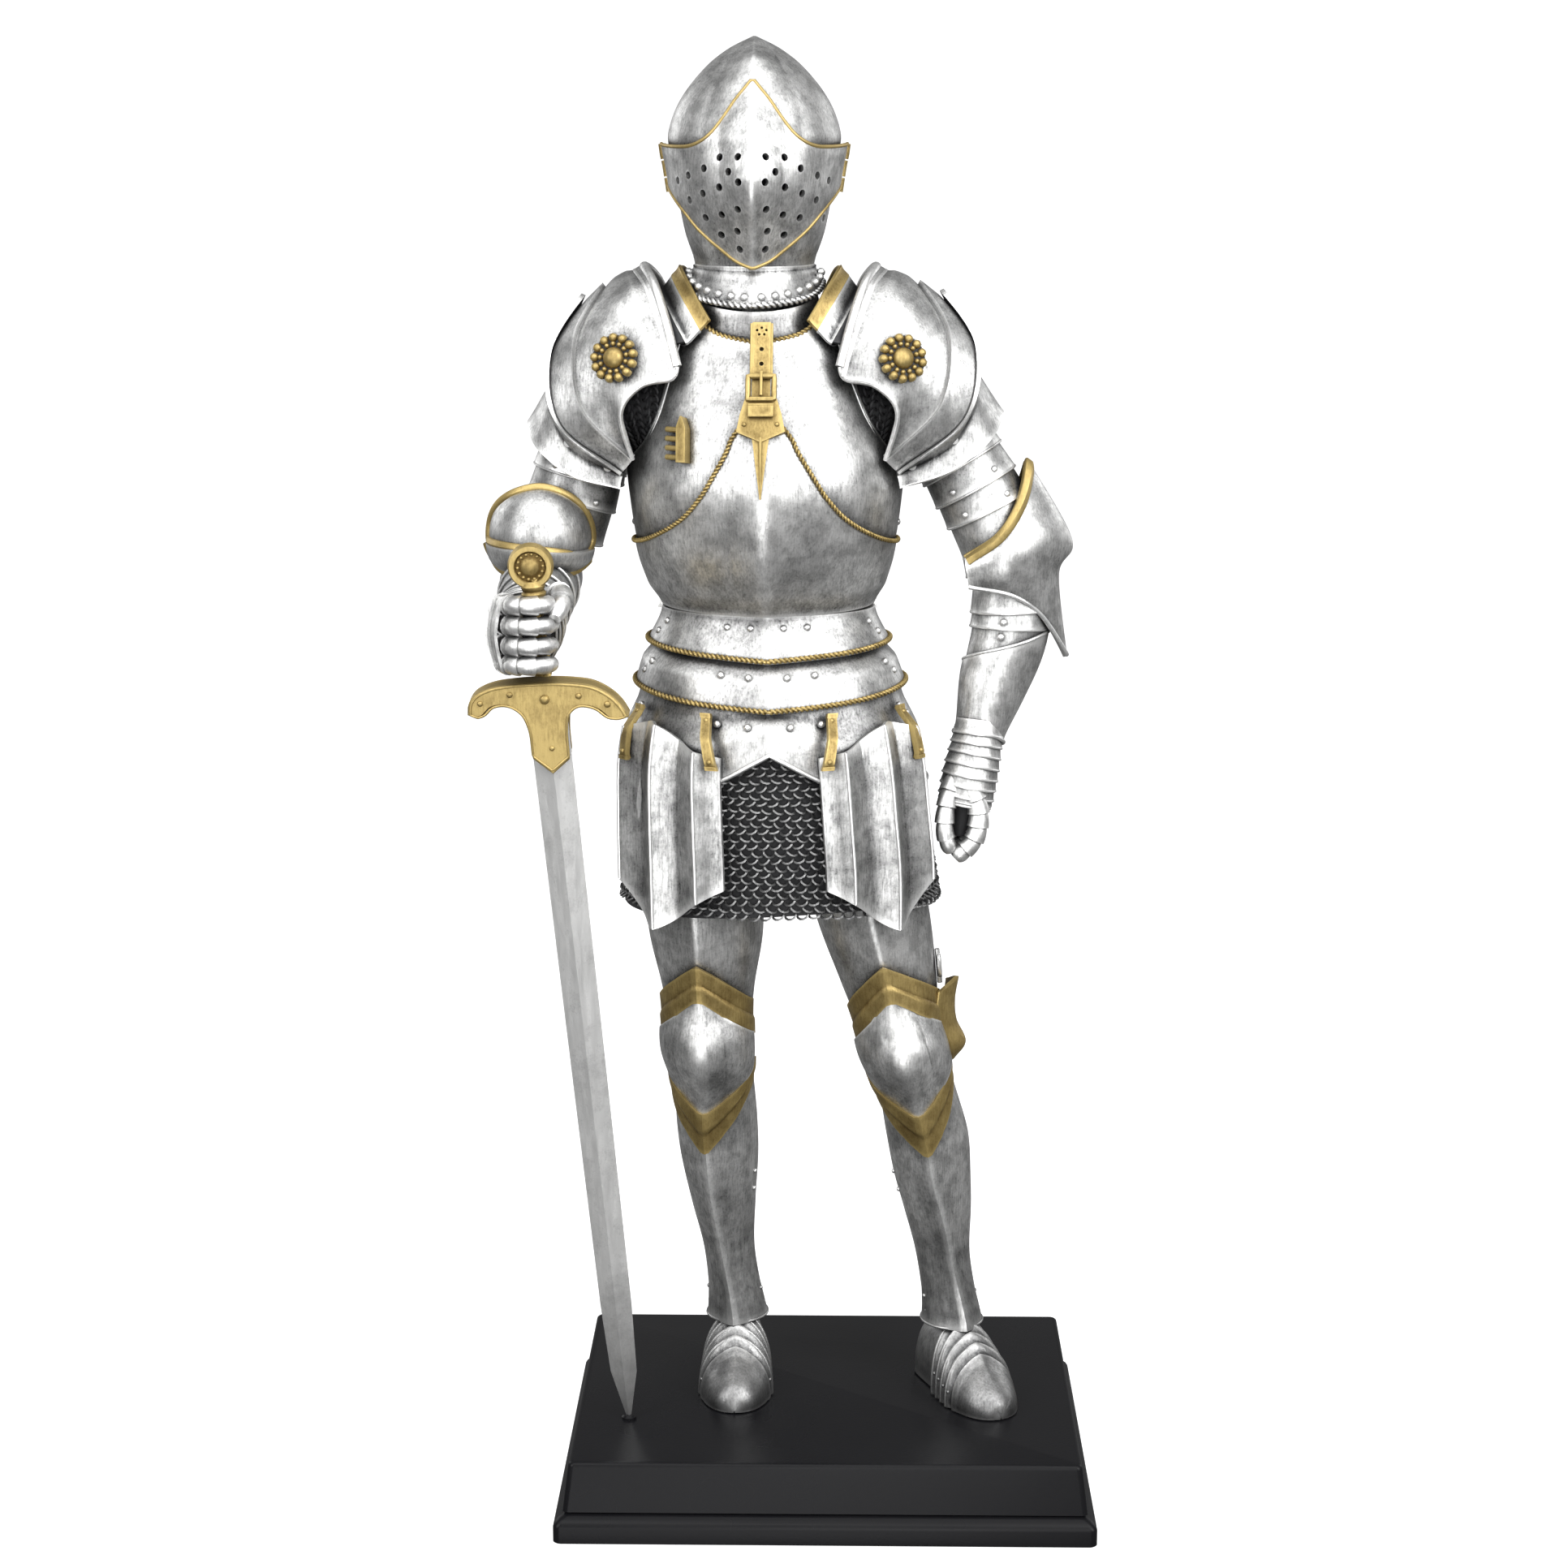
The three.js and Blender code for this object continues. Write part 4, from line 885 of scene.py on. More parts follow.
def body():
    skin = Skin()
    plate(skin, torso_form, (-88, 88), BREAST_FOOT, front_neck, size=(128, 42), swell=armhole)
    for side in (-1, 1):
        edging(skin, torso_form, (side * 50, side * 88), front_neck, 0.85, -0.5)
        edging(skin, torso_form, (side * 50, side * 88), lambda a: front_neck(a) - 2.2, 0.3, 0)
    skin.make("breast", "plate", "breastplate")
    skin = Skin()
    roped(skin, torso_form, (-41, 41), lambda a: front_neck(a) + 0.1, 0.62, -0.2)
    roped(skin, hugged, (-88, 88), plackart_edge, 0.55, 2.2)
    skin.make("breast_ropes", "gilding")
    skin = Skin()
    rows = ((0, 1.1), (0.04, 0.6), (0.1, 0), (1, 0))
    plate(skin, torso_form, (92, 268), BACK_FOOT, back_neck, rows, size=(128, 40))
    edging(skin, torso_form, (92, 268), back_neck, 0.8, -0.5)
    for angle in (93.8, 266.2):
        studs(skin, torso_form, [(angle, z) for z in (215, 224, 233)], 0.8, 0.6)
    skin.make("back", "plate", "backplate")
    skin = Skin()
    rows = ((0, 1.6), (0.3, 2.1), (0.65, 2.1), (1, 1.9))
    plate(skin, hugged, (-88, 88), lambda a: BELLY_FOOT + 1.6 * (1 - cos(a)), plackart_edge, rows,
          size=(120, 26))
    skin.make("belly_plate", "plate", "plackart")
    neck = ring_form(table("z x y half front back", [
        [260, -15.8, 0, 18.6, 12.6, 13.6], [266, -16, 0, 17, 12.8, 13.4], [270, -16.2, 0, 15.2, 12.6, 13],
        [277, -16.3, 0, 13.2, 12.2, 12.6],
    ]), 0.6)
    skin = Skin()
    plate(skin, neck, AROUND, 260, lambda a: 275.6 - 4 * np.maximum(0, cos(a)), size=(96, 13))
    skin.make("neck_plate", "plate", "gorget")


def chest_angle(x, z):
    r = torso_rows(z)
    return np.degrees(np.arcsin(np.clip((x - r["x"]) / r["half"], -1, 1)))


def chest(x, z, out):
    """The place on the breast at a side distance and height, moved out by out."""
    x, z = np.broadcast_arrays(np.asarray(x, float), np.asarray(z, float))
    return lifted(smooth_torso, chest_angle(x, z), z, out + 1 + 0 * z)


def band(skin, centre, stations, lift, thick, across=6, down=24):
    """A strap down the breast. stations are [height, half width]; centre may be a height's line."""
    zs, halves = np.array(stations, float).T
    z = np.unique(np.concatenate([np.linspace(zs[0], zs[-1], down), zs]))
    half = np.interp(z, zs, halves)[:, None]
    x = centre + half * np.linspace(-1, 1, across + 1)[None]
    level = np.broadcast_to(z[:, None], x.shape)
    wall(skin, chest(x, level, lift), chest(x, level, lift - thick), False)


STRAP_X = -14.5
ARROW = [[232.6, 0.12], [235, 0.4], [238, 0.8], [242, 1.3], [244.6, 1.7]]
CHAPE = [[243.6, 0.3], [245.4, 4.6], [249, 3.9], [252, 3]]
BUCKLE = {"half": 2.45, "foot": 251.8, "head": 256.4}
# The strap's ornament, holes round its tip: side and height from the ornament's middle.
ORNAMENT = [(-0.9, 0), (0, 0.5), (0.9, 0), (-0.5, -0.9), (0.5, -0.9)]


def chest_fittings():
    skin = Skin()
    band(skin, STRAP_X, ARROW, 3.6, 2.2)
    rod(skin, chest(STRAP_X, np.linspace(233, 244.4, 20), 3.5), np.linspace(0.12, 0.5, 20), 8)
    band(skin, STRAP_X, CHAPE, 3.9, 2.2, 10)
    half, foot, head = BUCKLE.values()
    corners = [(-half, foot), (half, foot), (half, head), (-half, head)]
    ring = even_line(corners, 0.5, True)
    rod(skin, chest(STRAP_X + ring[:, 0], ring[:, 1], 4.1), 0.62, 10, True)
    rod(skin, chest(STRAP_X + np.zeros(8), np.linspace(252.4, 257.2, 8), 4.6), 0.36, 8)
    band(skin, STRAP_X, [[248.4, 2.3], [250.6, 2.3]], 4.9, 1.2, 8, 8)
    for z in (248.4, 250.6):
        rod(skin, chest(STRAP_X + np.linspace(-2.3, 2.3, 12), np.full(12, z), 4.7), 0.32, 10)
    for x in (-3.1, 3.1):
        dome(skin, chest(STRAP_X + x, 246.8, 3.9), -np.array([0, 1.0, 0.0]), 0.5, 0.4)
    for x in (STRAP_X - 2, STRAP_X + 2):
        rod(skin, chest(x, np.linspace(256.5, 267.6, 24), 3.3), 0.28, 8)
    skin.make("breast_buckle", "gilding", sharp=30)
    skin = Skin()
    band(skin, STRAP_X, [[251.8, 1.8], [267.9, 1.8]], 3.4, 1.7, 8, 40)
    strap = skin.make("breast_strap", "gilding", "chest_strap", sharp=30)
    holes = [(0, 262.2, 0.5), (0, 259.2, 0.5)] + [(dx, 266.2 + dz, 0.3) for dx, dz in ORNAMENT]
    drill(strap, [(chest(STRAP_X + x, z, 0.5), chest(STRAP_X + x, z, 5.0), r) for x, z, r in holes])
    skin = Skin()
    band(skin, -30.9, [[239.4, 0.95], [246.6, 0.95], [248.9, 0.15]], 1.3, 2.2)
    for z in (240.4, 242.3, 244.2, 246.1):
        rod(skin, chest(np.linspace(-34.3, -31.6, 10), np.full(10, z), 0.4), 0.62, 10)
    skin.make("rest_bracket", "gilding", "lance_rest", sharp=30)


# ---------- shoulders ----------
def mirrored(rail):
    return [(2 * MIDDLE_X - x, y, z) for x, y, z in rail]


COLLAR = [
    [(-26, -13.6, 269.6), (-29.6, -9.5, 275.5), (-32.6, -1, 280.3), (-31.4, 8, 279), (-27.5, 14.5, 270)],
    [(-30.8, -13.8, 264.6), (-34.2, -10, 270.4), (-36.9, -1.5, 275.2), (-35.6, 8, 274), (-31.6, 14.5, 265.5)],
]
SHOULDER_Y = 1
RAILS = {
    "crest": [(-33, -16.5, 260), (-35.2, -14, 268.4), (-38.2, -8.4, 277), (-40.8, SHOULDER_Y, 280.6)],
    "neck": [(-34.2, -17, 257.4), (-37, -14.6, 267), (-40.6, -8.4, 276.2), (-43.2, SHOULDER_Y, 279.2)],
    "brow": [(-40.8, -17.8, 255.9), (-42.6, -15.6, 265.4), (-44.4, -9.4, 274.8), (-45.6, SHOULDER_Y, 278.6)],
    "dome": [(-45.4, -16.8, 249.8), (-49, -15.4, 260.4), (-49.6, -10, 271), (-47.8, SHOULDER_Y, 277.8)],
    "edge": [(-43, -14, 239.4), (-54, -14.8, 250.6), (-55.6, -10, 265.4), (-49.8, SHOULDER_Y, 276.4)],
    "second": [(-45.4, -12.8, 236.4), (-59, -13.6, 247.2), (-61, -9, 262), (-54.4, SHOULDER_Y, 273.4)],
    "lip": [(-46, -10.5, 232.8), (-56, -12.8, 235.6), (-64.2, -8.8, 241.4), (-67, SHOULDER_Y, 246.4)],
}


def wrapped(rail, middle):
    return rail + [(x, 2 * middle - y, z) for x, y, z in rail[-2::-1]]


def to_left(rail):
    """The left shoulder is carried a little wider and higher."""
    out = [max(0, MIDDLE_X - x - 28) for x, y, z in rail]
    return [(2 * MIDDLE_X - x + 0.09 * o, y, z + 0.1 * o) for (x, y, z), o in zip(rail, out)]


def shoulder(left, *keys, rails=None):
    lines = [wrapped(RAILS[k], SHOULDER_Y) for k in keys] if rails is None else rails
    if left and rails is None:
        lines = [to_left(line) for line in lines]
    form = rail_form(lines)
    return form if left else turned(form)


def shoulders():
    for name, left in (("right", False), ("left", True)):
        near = (lambda u: u) if left else (lambda u: 1 - u)
        main = shoulder(left, "crest", "neck", "brow", "dome", "edge")
        skin = Skin()
        rows = ((0, 0.5), (0.12, 0.1), (0.25, 0.2), (0.4, 0), (0.7, 0.6), (1, 1.4))
        plate(skin, main, (0, 1), 0, 1, rows, size=(96, 37))
        edging(skin, main, (0, 1), 0.0, 1.15, -0.1, 12)
        edging(skin, main, (0, 1), 0.21, 0.85, -0.1, 12)
        edging(skin, main, (0, 1), 0.985, 0.5, 1.1)
        for u in (0, 1):
            rod(skin, even_line(upright(main, u, 0, 1, 0.1), 0.9), 0.6)
        spots = [(near(u), v) for u, v in ((0.1, 0.36), (0.24, 0.36), (0.07, 0.86), (0.16, 0.9))]
        studs(skin, main, spots, 0.9, 0.7, 0.9)
        skin.make("shoulder_main_" + name, "plate", "pauldron_" + name)
        second = shoulder(left, "edge", "second")
        skin = Skin()
        plate(skin, second, (0, 1), -0.25, 1, ((0, 0), (0.4, 0.4), (1, 1.4)), size=(96, 13))
        edging(skin, second, (0, 1), 0.96, 0.5, 1.2)
        studs(skin, second, [(near(u), 0.5) for u in (0.05, 0.16)], 0.9, 0.7, 0.7)
        skin.make("shoulder_lame_" + name, "plate", "pauldron_lame_" + name)
        lip = shoulder(left, "second", "lip")
        skin = Skin()
        plate(skin, lip, (0, 1), -0.12, 1, ((0, 0), (0.18, 0), (0.5, 2.2), (1, 0.6)), size=(96, 21))
        edging(skin, lip, (0, 1), 0.98, 0.55, 0.5)
        studs(skin, lip, [(near(u), 0.35) for u in (0.04, 0.16)], 0.9, 0.7, 1.4)
        skin.make("shoulder_lip_" + name, "plate", "pauldron_lip_" + name)

        rails = [mirrored(r) for r in COLLAR] if left else COLLAR
        strap = shoulder(left, rails=rails)
        skin = Skin()
        plate(skin, strap, (0, 1), 0.42, 1, ((0, 0.4), (0.7, 0.6), (1, 0)), size=(80, 8))
        edging(skin, strap, (0, 1), 0.98, 0.35, 0)
        edging(skin, strap, (0, 1), 0.47, 0.4, 0.4)
        skin.make("shoulder_strap_" + name, "plate", "collar_" + name)
        skin = Skin()
        plate(skin, strap, (0, 1), -0.02, 0.42, ((0, 0.2), (0.5, 0.45), (1, 0.3)), size=(80, 7))
        edging(skin, strap, (0, 1), 0.0, 0.45, 0)
        skin.make("shoulder_strap_band_" + name, "gilding")
        rosette(name, left)


ROSETTE = {"radius": 4.5, "beads": 13, "bead": 0.98, "dome": 2.4}


def rosette(name, left):
    low, high = (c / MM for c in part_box("rosette_" + name))
    centre = np.array((low + high) / 2)
    facing = unit(np.array([0.35 if left else -0.35, -1, 0.3]))
    side = unit(np.cross(facing, [0, 0, 1.0]))
    other = np.cross(side, facing)
    skin = Skin()
    dome(skin, centre, facing, 2.7, 0.45, 40, 3, 0.2)
    dome(skin, centre, facing, ROSETTE["dome"], 1.9, 32, 9, 0.4)
    for i in range(ROSETTE["beads"]):
        a = 360 * i / ROSETTE["beads"]
        spot = centre + (side * cos(a) + other * sin(a)) * ROSETTE["radius"]
        dome(skin, spot + facing * 0.3, facing, ROSETTE["bead"], 1.05, 14, 6, 0.2)
        inner = centre + (side * cos(a) + other * sin(a)) * 3.1
        dome(skin, inner + facing * 0.3, facing, 0.6, 0.8, 10, 5, 0.2)
        rod(skin, np.array([inner + facing * 0.3, spot + facing * 0.45]), 0.2, 8)
    skin.make("rosette_flower_" + name, "gilding", "rosette_" + name)
    # A near-black bed under the beads: painted shade between them.
    skin = Skin()
    dome(skin, centre, facing, 5.1, 0.2, 40, 2, 0.3)
    skin.make("rosette_bed_" + name, "dark")


# ---------- arms ----------
# The right elbow's gilt rim, and the frame of the lame below it: angle and tilt.
ELBOW_RIM = [
    (-86, -6), (-84, 16), (-68, 38), (-34, 55), (6, 61), (40, 54), (66, 38), (82, 14), (86, -10), (66, -26),
    (34, -16), (0, -9), (-45, -6),
]
ELBOW_FOOT = [(-90, -10), (-92, -28), (-70, -41), (-30, -43), (20, -43), (60, -42), (84, -30)]


def upper_arm(left):
    if left:
        rows = [[0, 24.6, 1.5, 246, 9.4, 9.4], [1, 33, 0.5, 232, 9.4, 9], [2, 39.6, 0, 219, 9, 9]]
    else:
        rows = [[0, -54, 1.5, 243, 9.6, 9.4], [1, -56.6, 1.5, 232.5, 9.7, 9.4], [2, -60.4, 1, 220.5, 9, 9]]
    return limb_form(rows)


def lames(skin, form, breaks, lift, lap=0.08, tilt=0.0):
    """Overlapping lames along a limb. Each one's lower edge stands out over the next."""
    rows = ((0, -0.1), (0.75, lift * 0.6), (1, lift))
    for top, foot in zip(breaks, breaks[1:]):
        def head_edge(a, top=top):
            return top - lap + tilt * sin(a)

        def foot_edge(a, foot=foot):
            return foot + tilt * sin(a)

        plate(skin, form, AROUND, head_edge, foot_edge, rows, thick=0.8, size=(72, 7))
        edging(skin, form, AROUND, foot_edge, 0.3, lift - 0.15, 8, 72)


ELBOW_R = {"x": -64.2, "y": -4, "z": 221.6, "half": 11.6, "front": 15, "back": 11, "up": 13.2, "down": 10}


def elbow_form(angle, tilt):
    s, c, k = sin(angle), cos(angle), cos(tilt)
    rise = np.where(np.asarray(tilt) > 0, ELBOW_R["up"], ELBOW_R["down"])
    return points(
        ELBOW_R["x"] + ELBOW_R["half"] * s * k,
        ELBOW_R["y"] - np.where(c > 0, ELBOW_R["front"], ELBOW_R["back"]) * c * k,
        ELBOW_R["z"] + rise * sin(tilt),
    )


def elbow_top(angle):
    return 10 + 52 * np.maximum(0, cos(angle))


def elbow_foot(angle):
    return -30 - 14 * np.abs(sin(angle))


ELBOW_L = [wrapped(rail, 0) for rail in (
    [(30.4, -8, 217.4), (37.6, -10.6, 222.6), (42.4, -8, 229.6), (44.6, 0, 238.2)],
    [(30.6, -9.6, 215), (40, -12, 217.8), (47.6, -8.4, 222), (54.8, 0, 220.4)],
    [(31, -9.4, 212.8), (40.4, -11.4, 213), (47.2, -8.2, 214), (52, 0, 212.4)],
    [(31.4, -8.8, 210.6), (41, -9.8, 208.8), (47.2, -7, 204.4), (54.2, 0, 193.6)],
)]
ARM_UP = (0, -0.3, 1)


def fore_arm(left):
    if left:
        return limb_form([
            [0, 41.4, 0, 213, 8.8, 8.8], [1, 40.6, -1, 199, 8.3, 8.2], [2, 37.4, -3, 188, 7.2, 7],
            [3, 34.8, -5, 179, 5.4, 5.4], [4, 34, -6, 176, 5.1, 5.1],
        ])
    return limb_form([
        [0, -63.6, 2, 212.6, 8.8, 8.8], [1, -64.4, -12, 210, 8.2, 8.2], [2, -64.8, -24, 206.4, 7.2, 8],
    ], ARM_UP)


def arms():
    for name, left in (("right", False), ("left", True)):
        arm = upper_arm(left)
        skin = Skin()
        breaks = (0.1, 0.62, 1.0, 1.38, 1.92) if left else (0.1, 0.8, 1.3, 1.92)
        lames(skin, arm, breaks, 0.7)
        rows = (breaks[1] - 0.14, breaks[2] - 0.12, breaks[3] - 0.12)
        studs(skin, arm, [(a, k) for k in rows for a in (-35, 30)], 0.75, 0.6, 0.45)
        skin.make("upper_arm_" + name, "plate", "rerebrace_" + name)

    skin = Skin()
    plate(skin, elbow_form, (-150, 96), elbow_foot, elbow_top, size=(110, 32))
    plate(skin, elbow_form, (-150, 92), lambda a: elbow_foot(a) - 1, lambda a: -8 - 8 * np.maximum(0, sin(a)),
          ((0, 1.2), (0.5, 1.5), (1, 0.9)), size=(110, 11))
    skin.make("elbow_dome_right", "plate", "couter_right")
    skin = Skin()
    trim(skin, elbow_form, ELBOW_RIM, 1.05, 0.5, 1.0, 140, True)
    trim(skin, elbow_form, ELBOW_FOOT, 0.9, 1.4, 1.2, 80)
    skin.make("elbow_bands_right", "gilding")

    point = turned(rail_form(ELBOW_L))
    skin = Skin()
    plate(skin, point, (0, 1), 0, 1, size=(96, 32))
    edging(skin, point, (0, 1), 0.985, 0.55, -0.1)
    skin.make("elbow_wing_left", "plate", "couter_left")
    skin = Skin()
    path = [(u, 1.25 / (7 + 75 * min(u, 1 - u))) for u in np.linspace(0.01, 0.99, 31)]
    trim(skin, point, path, 1.2, 0.4, 1.4, 120)
    edging(skin, point, (0, 1), 0.0, 0.55, -0.2)
    skin.make("elbow_band_left", "gilding")

    arm = fore_arm(False)
    skin = Skin()
    lames(skin, arm, (0.3, 0.75, 1.2, 1.6, 1.97), 0.6)
    skin.make("fore_arm_right", "plate", "vambrace_right")
    arm = fore_arm(True)
    skin = Skin()
    lames(skin, arm, (0.28, 0.62, 0.9), 0.5, 0.1, 0.05)
    rows = ((0, -0.2), (0.6, 0.1), (1, 0.1))
    plate(skin, arm, AROUND, 0.8, lambda a: 1.75 + 0.25 * cos(a), rows, size=(72, 11))

    def lap_edge(a):
        return 1.3 + 0.42 * sin(a - 8)

    rows = ((0, 0.75), (0.5, 0.6), (0.9, 0.6), (1, 1.0))
    plate(skin, arm, AROUND, lap_edge, 3.9, rows, size=(72, 21))
    edging(skin, arm, AROUND, lap_edge, 0.4, 0.6)
    edging(skin, arm, AROUND, 3.88, 0.45, 0.7)
    studs(skin, arm, [(12, 0.78), (14, 1.08), (-140, 0.9)], 0.85, 0.65, 0.4)
    skin.make("fore_arm_left", "plate", "vambrace_left")


# ---------- hands ----------
def hand_form(left):
    if left:
        return limb_form([
            [-1, 34.4, -5.8, 181, 5.2, 5.2], [0, 33.6, -6.8, 175, 5.5, 5.5], [1, 32.2, -8, 168, 6, 5.8],
            [2, 31, -8.6, 161.6, 5.9, 5.6],
        ])
    return limb_form([
        [-1, -64.6, -20, 207, 7.2, 8], [0, -64.8, -24.8, 206, 7.4, 8.2], [1, -65.2, -29, 204.6, 7.4, 8.8],
        [2, -65.6, -33, 203.6, 6.4, 9.2],
    ], ARM_UP)


def finger(skin, rail, radius, plates):
    """A finger of overlapping scales: each swells towards its far end and steps down to the next."""
    curve = curve_through(rail)
    for i in range(plates):
        t = np.linspace(i / plates, min(1.0, (i + 1.04) / plates), 9)
        inside = np.linspace(0, 1, 9)
        taper = 1 - 0.22 * t * t
        size = radius * taper * (0.78 + 0.27 * inside**0.55)
        if i == plates - 1:
            size = size * np.sqrt(np.clip(1 - (inside - 0.15) ** 3, 0.05, 1))
        rod(skin, curve(t), size, 14)


FIST = {"x": -64, "y": -36.6, "wide": 5.7, "deep": 7.4, "radius": 2.3}


def knuckles(angle, z):
    """The form round the fist, from the back of the hand at -90 to the finger tips."""
    r = FIST["radius"]
    return points(FIST["x"] + (FIST["wide"] + r) * sin(angle), FIST["y"] - (FIST["deep"] + r) * cos(angle), z)


def side_on(angle):
    return np.clip((away(angle) - 60) / 58, 0, 1) ** 2


def flare(angle, z, edge):
    """The knuckle plates bow out at the middle of the hand, and each turns up at its forward edge."""
    return 1.5 * np.sin(np.pi * (z - 196.5) / 17.5) - 1.1 + 0.6 * np.clip(1 - (edge - angle) / 12, 0, 1)


def hands():
    skin = Skin()
    cuff = hand_form(False)
    lames(skin, cuff, (-0.3, 0.35, 0.85, 1.35, 1.8), 0.5, 0.12)
    for i, z in enumerate((211.2, 206.8, 202.4, 198.3)):
        rail = [(FIST["x"] + FIST["wide"] * sin(a), FIST["y"] - FIST["deep"] * cos(a), z + 0.3 * cos(a))
                for a in (-95, -60, -25, 10, 45, 78 - 3 * i)]
        finger(skin, rail, FIST["radius"], 6)
    for low, high in ((-118, -86), (-90, -62), (-66, -44)):
        plate(skin, knuckles, (low, high),
              lambda a: 197.2 + 4.5 * side_on(a), lambda a: 213.4 - 3.5 * side_on(a),
              ((0, 0.2), (0.5, 0.7), (1, 0.1)), lambda a, z, high=high: flare(a, z, high), 0.8, (16, 16))
    thumb = [(-60.6, -29.6, 210.8), (-57.6, -34, 212.6), (-56.8, -39, 211.8), (-58, -42.6, 208.6)]
    finger(skin, thumb, 2.7, 3)
    skin.make("hand_right", "plate", "gauntlet_right")

    skin = Skin()
    cuff = hand_form(True)
    lames(skin, cuff, (-0.75, -0.3, 0.05, 0.38, 0.72, 1.06, 1.4, 1.75, 2.0), 0.42, 0.1)
    for i, y in enumerate((-12.6, -9, -5.6, -2.2)):
        rail = [(32.2, y + 0.6, 166), (34, y, 160), (33, y - 0.6, 154), (28.8, y - 1, 149.8 + i * 0.5)]
        finger(skin, rail, 2.55, 6)
    finger(skin, [(28.8, -10.4, 168), (26.8, -12.8, 162), (26.4, -13.8, 156), (27.8, -13.4, 151.2)], 2.35, 5)
    skin.make("hand_left", "plate", "gauntlet_left")
    skin = Skin()
    # Near-black fillers inside the fists: painted shade.
    rod(skin, np.array([(31, -7.4, 167.0), (30.8, -7.8, 160.0), (30.2, -8.2, 154.0)]), [3.4, 3.4, 2.4], 14)
    rod(skin, np.array([(-64, -35.6, 212.4), (-64, -35.6, 197.8)]), 4.4, 16)
    skin.make("palms", "dark")


# ---------- sword ----------
POINT = np.array([-45.5, -20.4, PLINTH_TOP + 0.4])
SWORD_TOP = np.array([-63.3, -40, 220])
SWORD_AXIS = unit(SWORD_TOP - POINT)
SWORD_SIDE = unit(np.array([1.0, 0, 0]) - SWORD_AXIS * SWORD_AXIS[0])
SWORD_FACE = unit(np.cross(SWORD_SIDE, SWORD_AXIS))
LEVEL = np.array([1.0, 0, 0])
# Height, half width and half thickness.
BLADE = [[18.4, 0.5, 0.4], [30, 3, 0.9], [47, 3.6, 1.1], [120, 4, 1.3], [189, 4.3, 1.4]]
# The guard's outline, bar and tongue in one: side and height.
GUARD_TOP = [
    (-17, 187.3), (-16.6, 189.6), (-15, 191.6), (-11.5, 193.2), (-6, 194.1), (0, 194.5), (6, 194.4),
    (10.8, 193.7), (14.4, 191.7), (16.5, 189.4), (17.7, 187),
]
GUARD_RIGHT = [(15.9, 186.5), (13.7, 186.8), (11, 188.9), (7.4, 189.4), (5, 187.5), (4.2, 184), (4, 177.6)]
GUARD_LEFT = [
    (-4, 177.6), (-4.2, 184), (-5.6, 187.6), (-8.6, 189.4), (-11.8, 189), (-13.8, 187.2), (-15.4, 186.6),
]
GUARD_TIP = (0, 174.2)
# The guard's rivets: side, height and radius.
GUARD_RIVETS = [
    (-14, 189.9, 0.65), (-7.4, 191.9, 0.7), (0, 190.9, 1.1), (7.4, 191.7, 0.7), (13.4, 189.9, 0.75),
    (0.4, 180, 0.6),
]
GRIP = (195.5, 217)
FERRULE = (212.6, 216.4)
FERRULE_RADII = [1.9, 2.6, 2.7, 2.3, 2.5, 2.7, 2.4, 2.0]
POMMEL_AT = 219.6
# The pommel's face from its rim in, and its beads: radius and depth.
POMMEL = [
    (4.5, -1.7), (4.9, -0.8), (4.9, 0.8), (4.5, 1.7), (3.5, 1.7), (3.1, 1.1), (2.2, 1.1), (1.4, 1.6),
    (0.5, 1.8),
]
BEADS = {"count": 14, "out": 2.75, "radius": 0.42, "height": 0.5}


def sword_at(z, side=0.0, face=0.0):
    z, side, face = np.broadcast_arrays(*(np.asarray(value, float) for value in (z, side, face)))
    share = (z - POINT[2]) / (SWORD_TOP[2] - POINT[2])
    return (POINT + (SWORD_TOP - POINT) * share[..., None]
            + LEVEL * side[..., None] + SWORD_FACE * face[..., None])


def slab(skin, outline, near, far, bevel=0.35):
    """An outline on the sword, raised between two depths, with bevelled edges."""
    line = np.array(outline, float)
    middle = line.mean(0)
    around = np.roll(line, -1, 0) - np.roll(line, 1, 0)
    out = unit(np.stack([around[:, 1], -around[:, 0]], -1))
    if ((line - middle) * out).sum() < 0:
        out = -out
    rings = []
    for depth, inset in ((near, bevel), (near + bevel, 0), (far - bevel, 0), (far, bevel)):
        p = line - out * inset
        rings.append(sword_at(p[:, 1], p[:, 0], depth))
    loft(skin, rings)


def smooth_line(rail, count):
    flat = [(x, z, 0.0) for x, z in rail]
    return curve_through(flat)(np.linspace(0, 1, count))[:, :2]


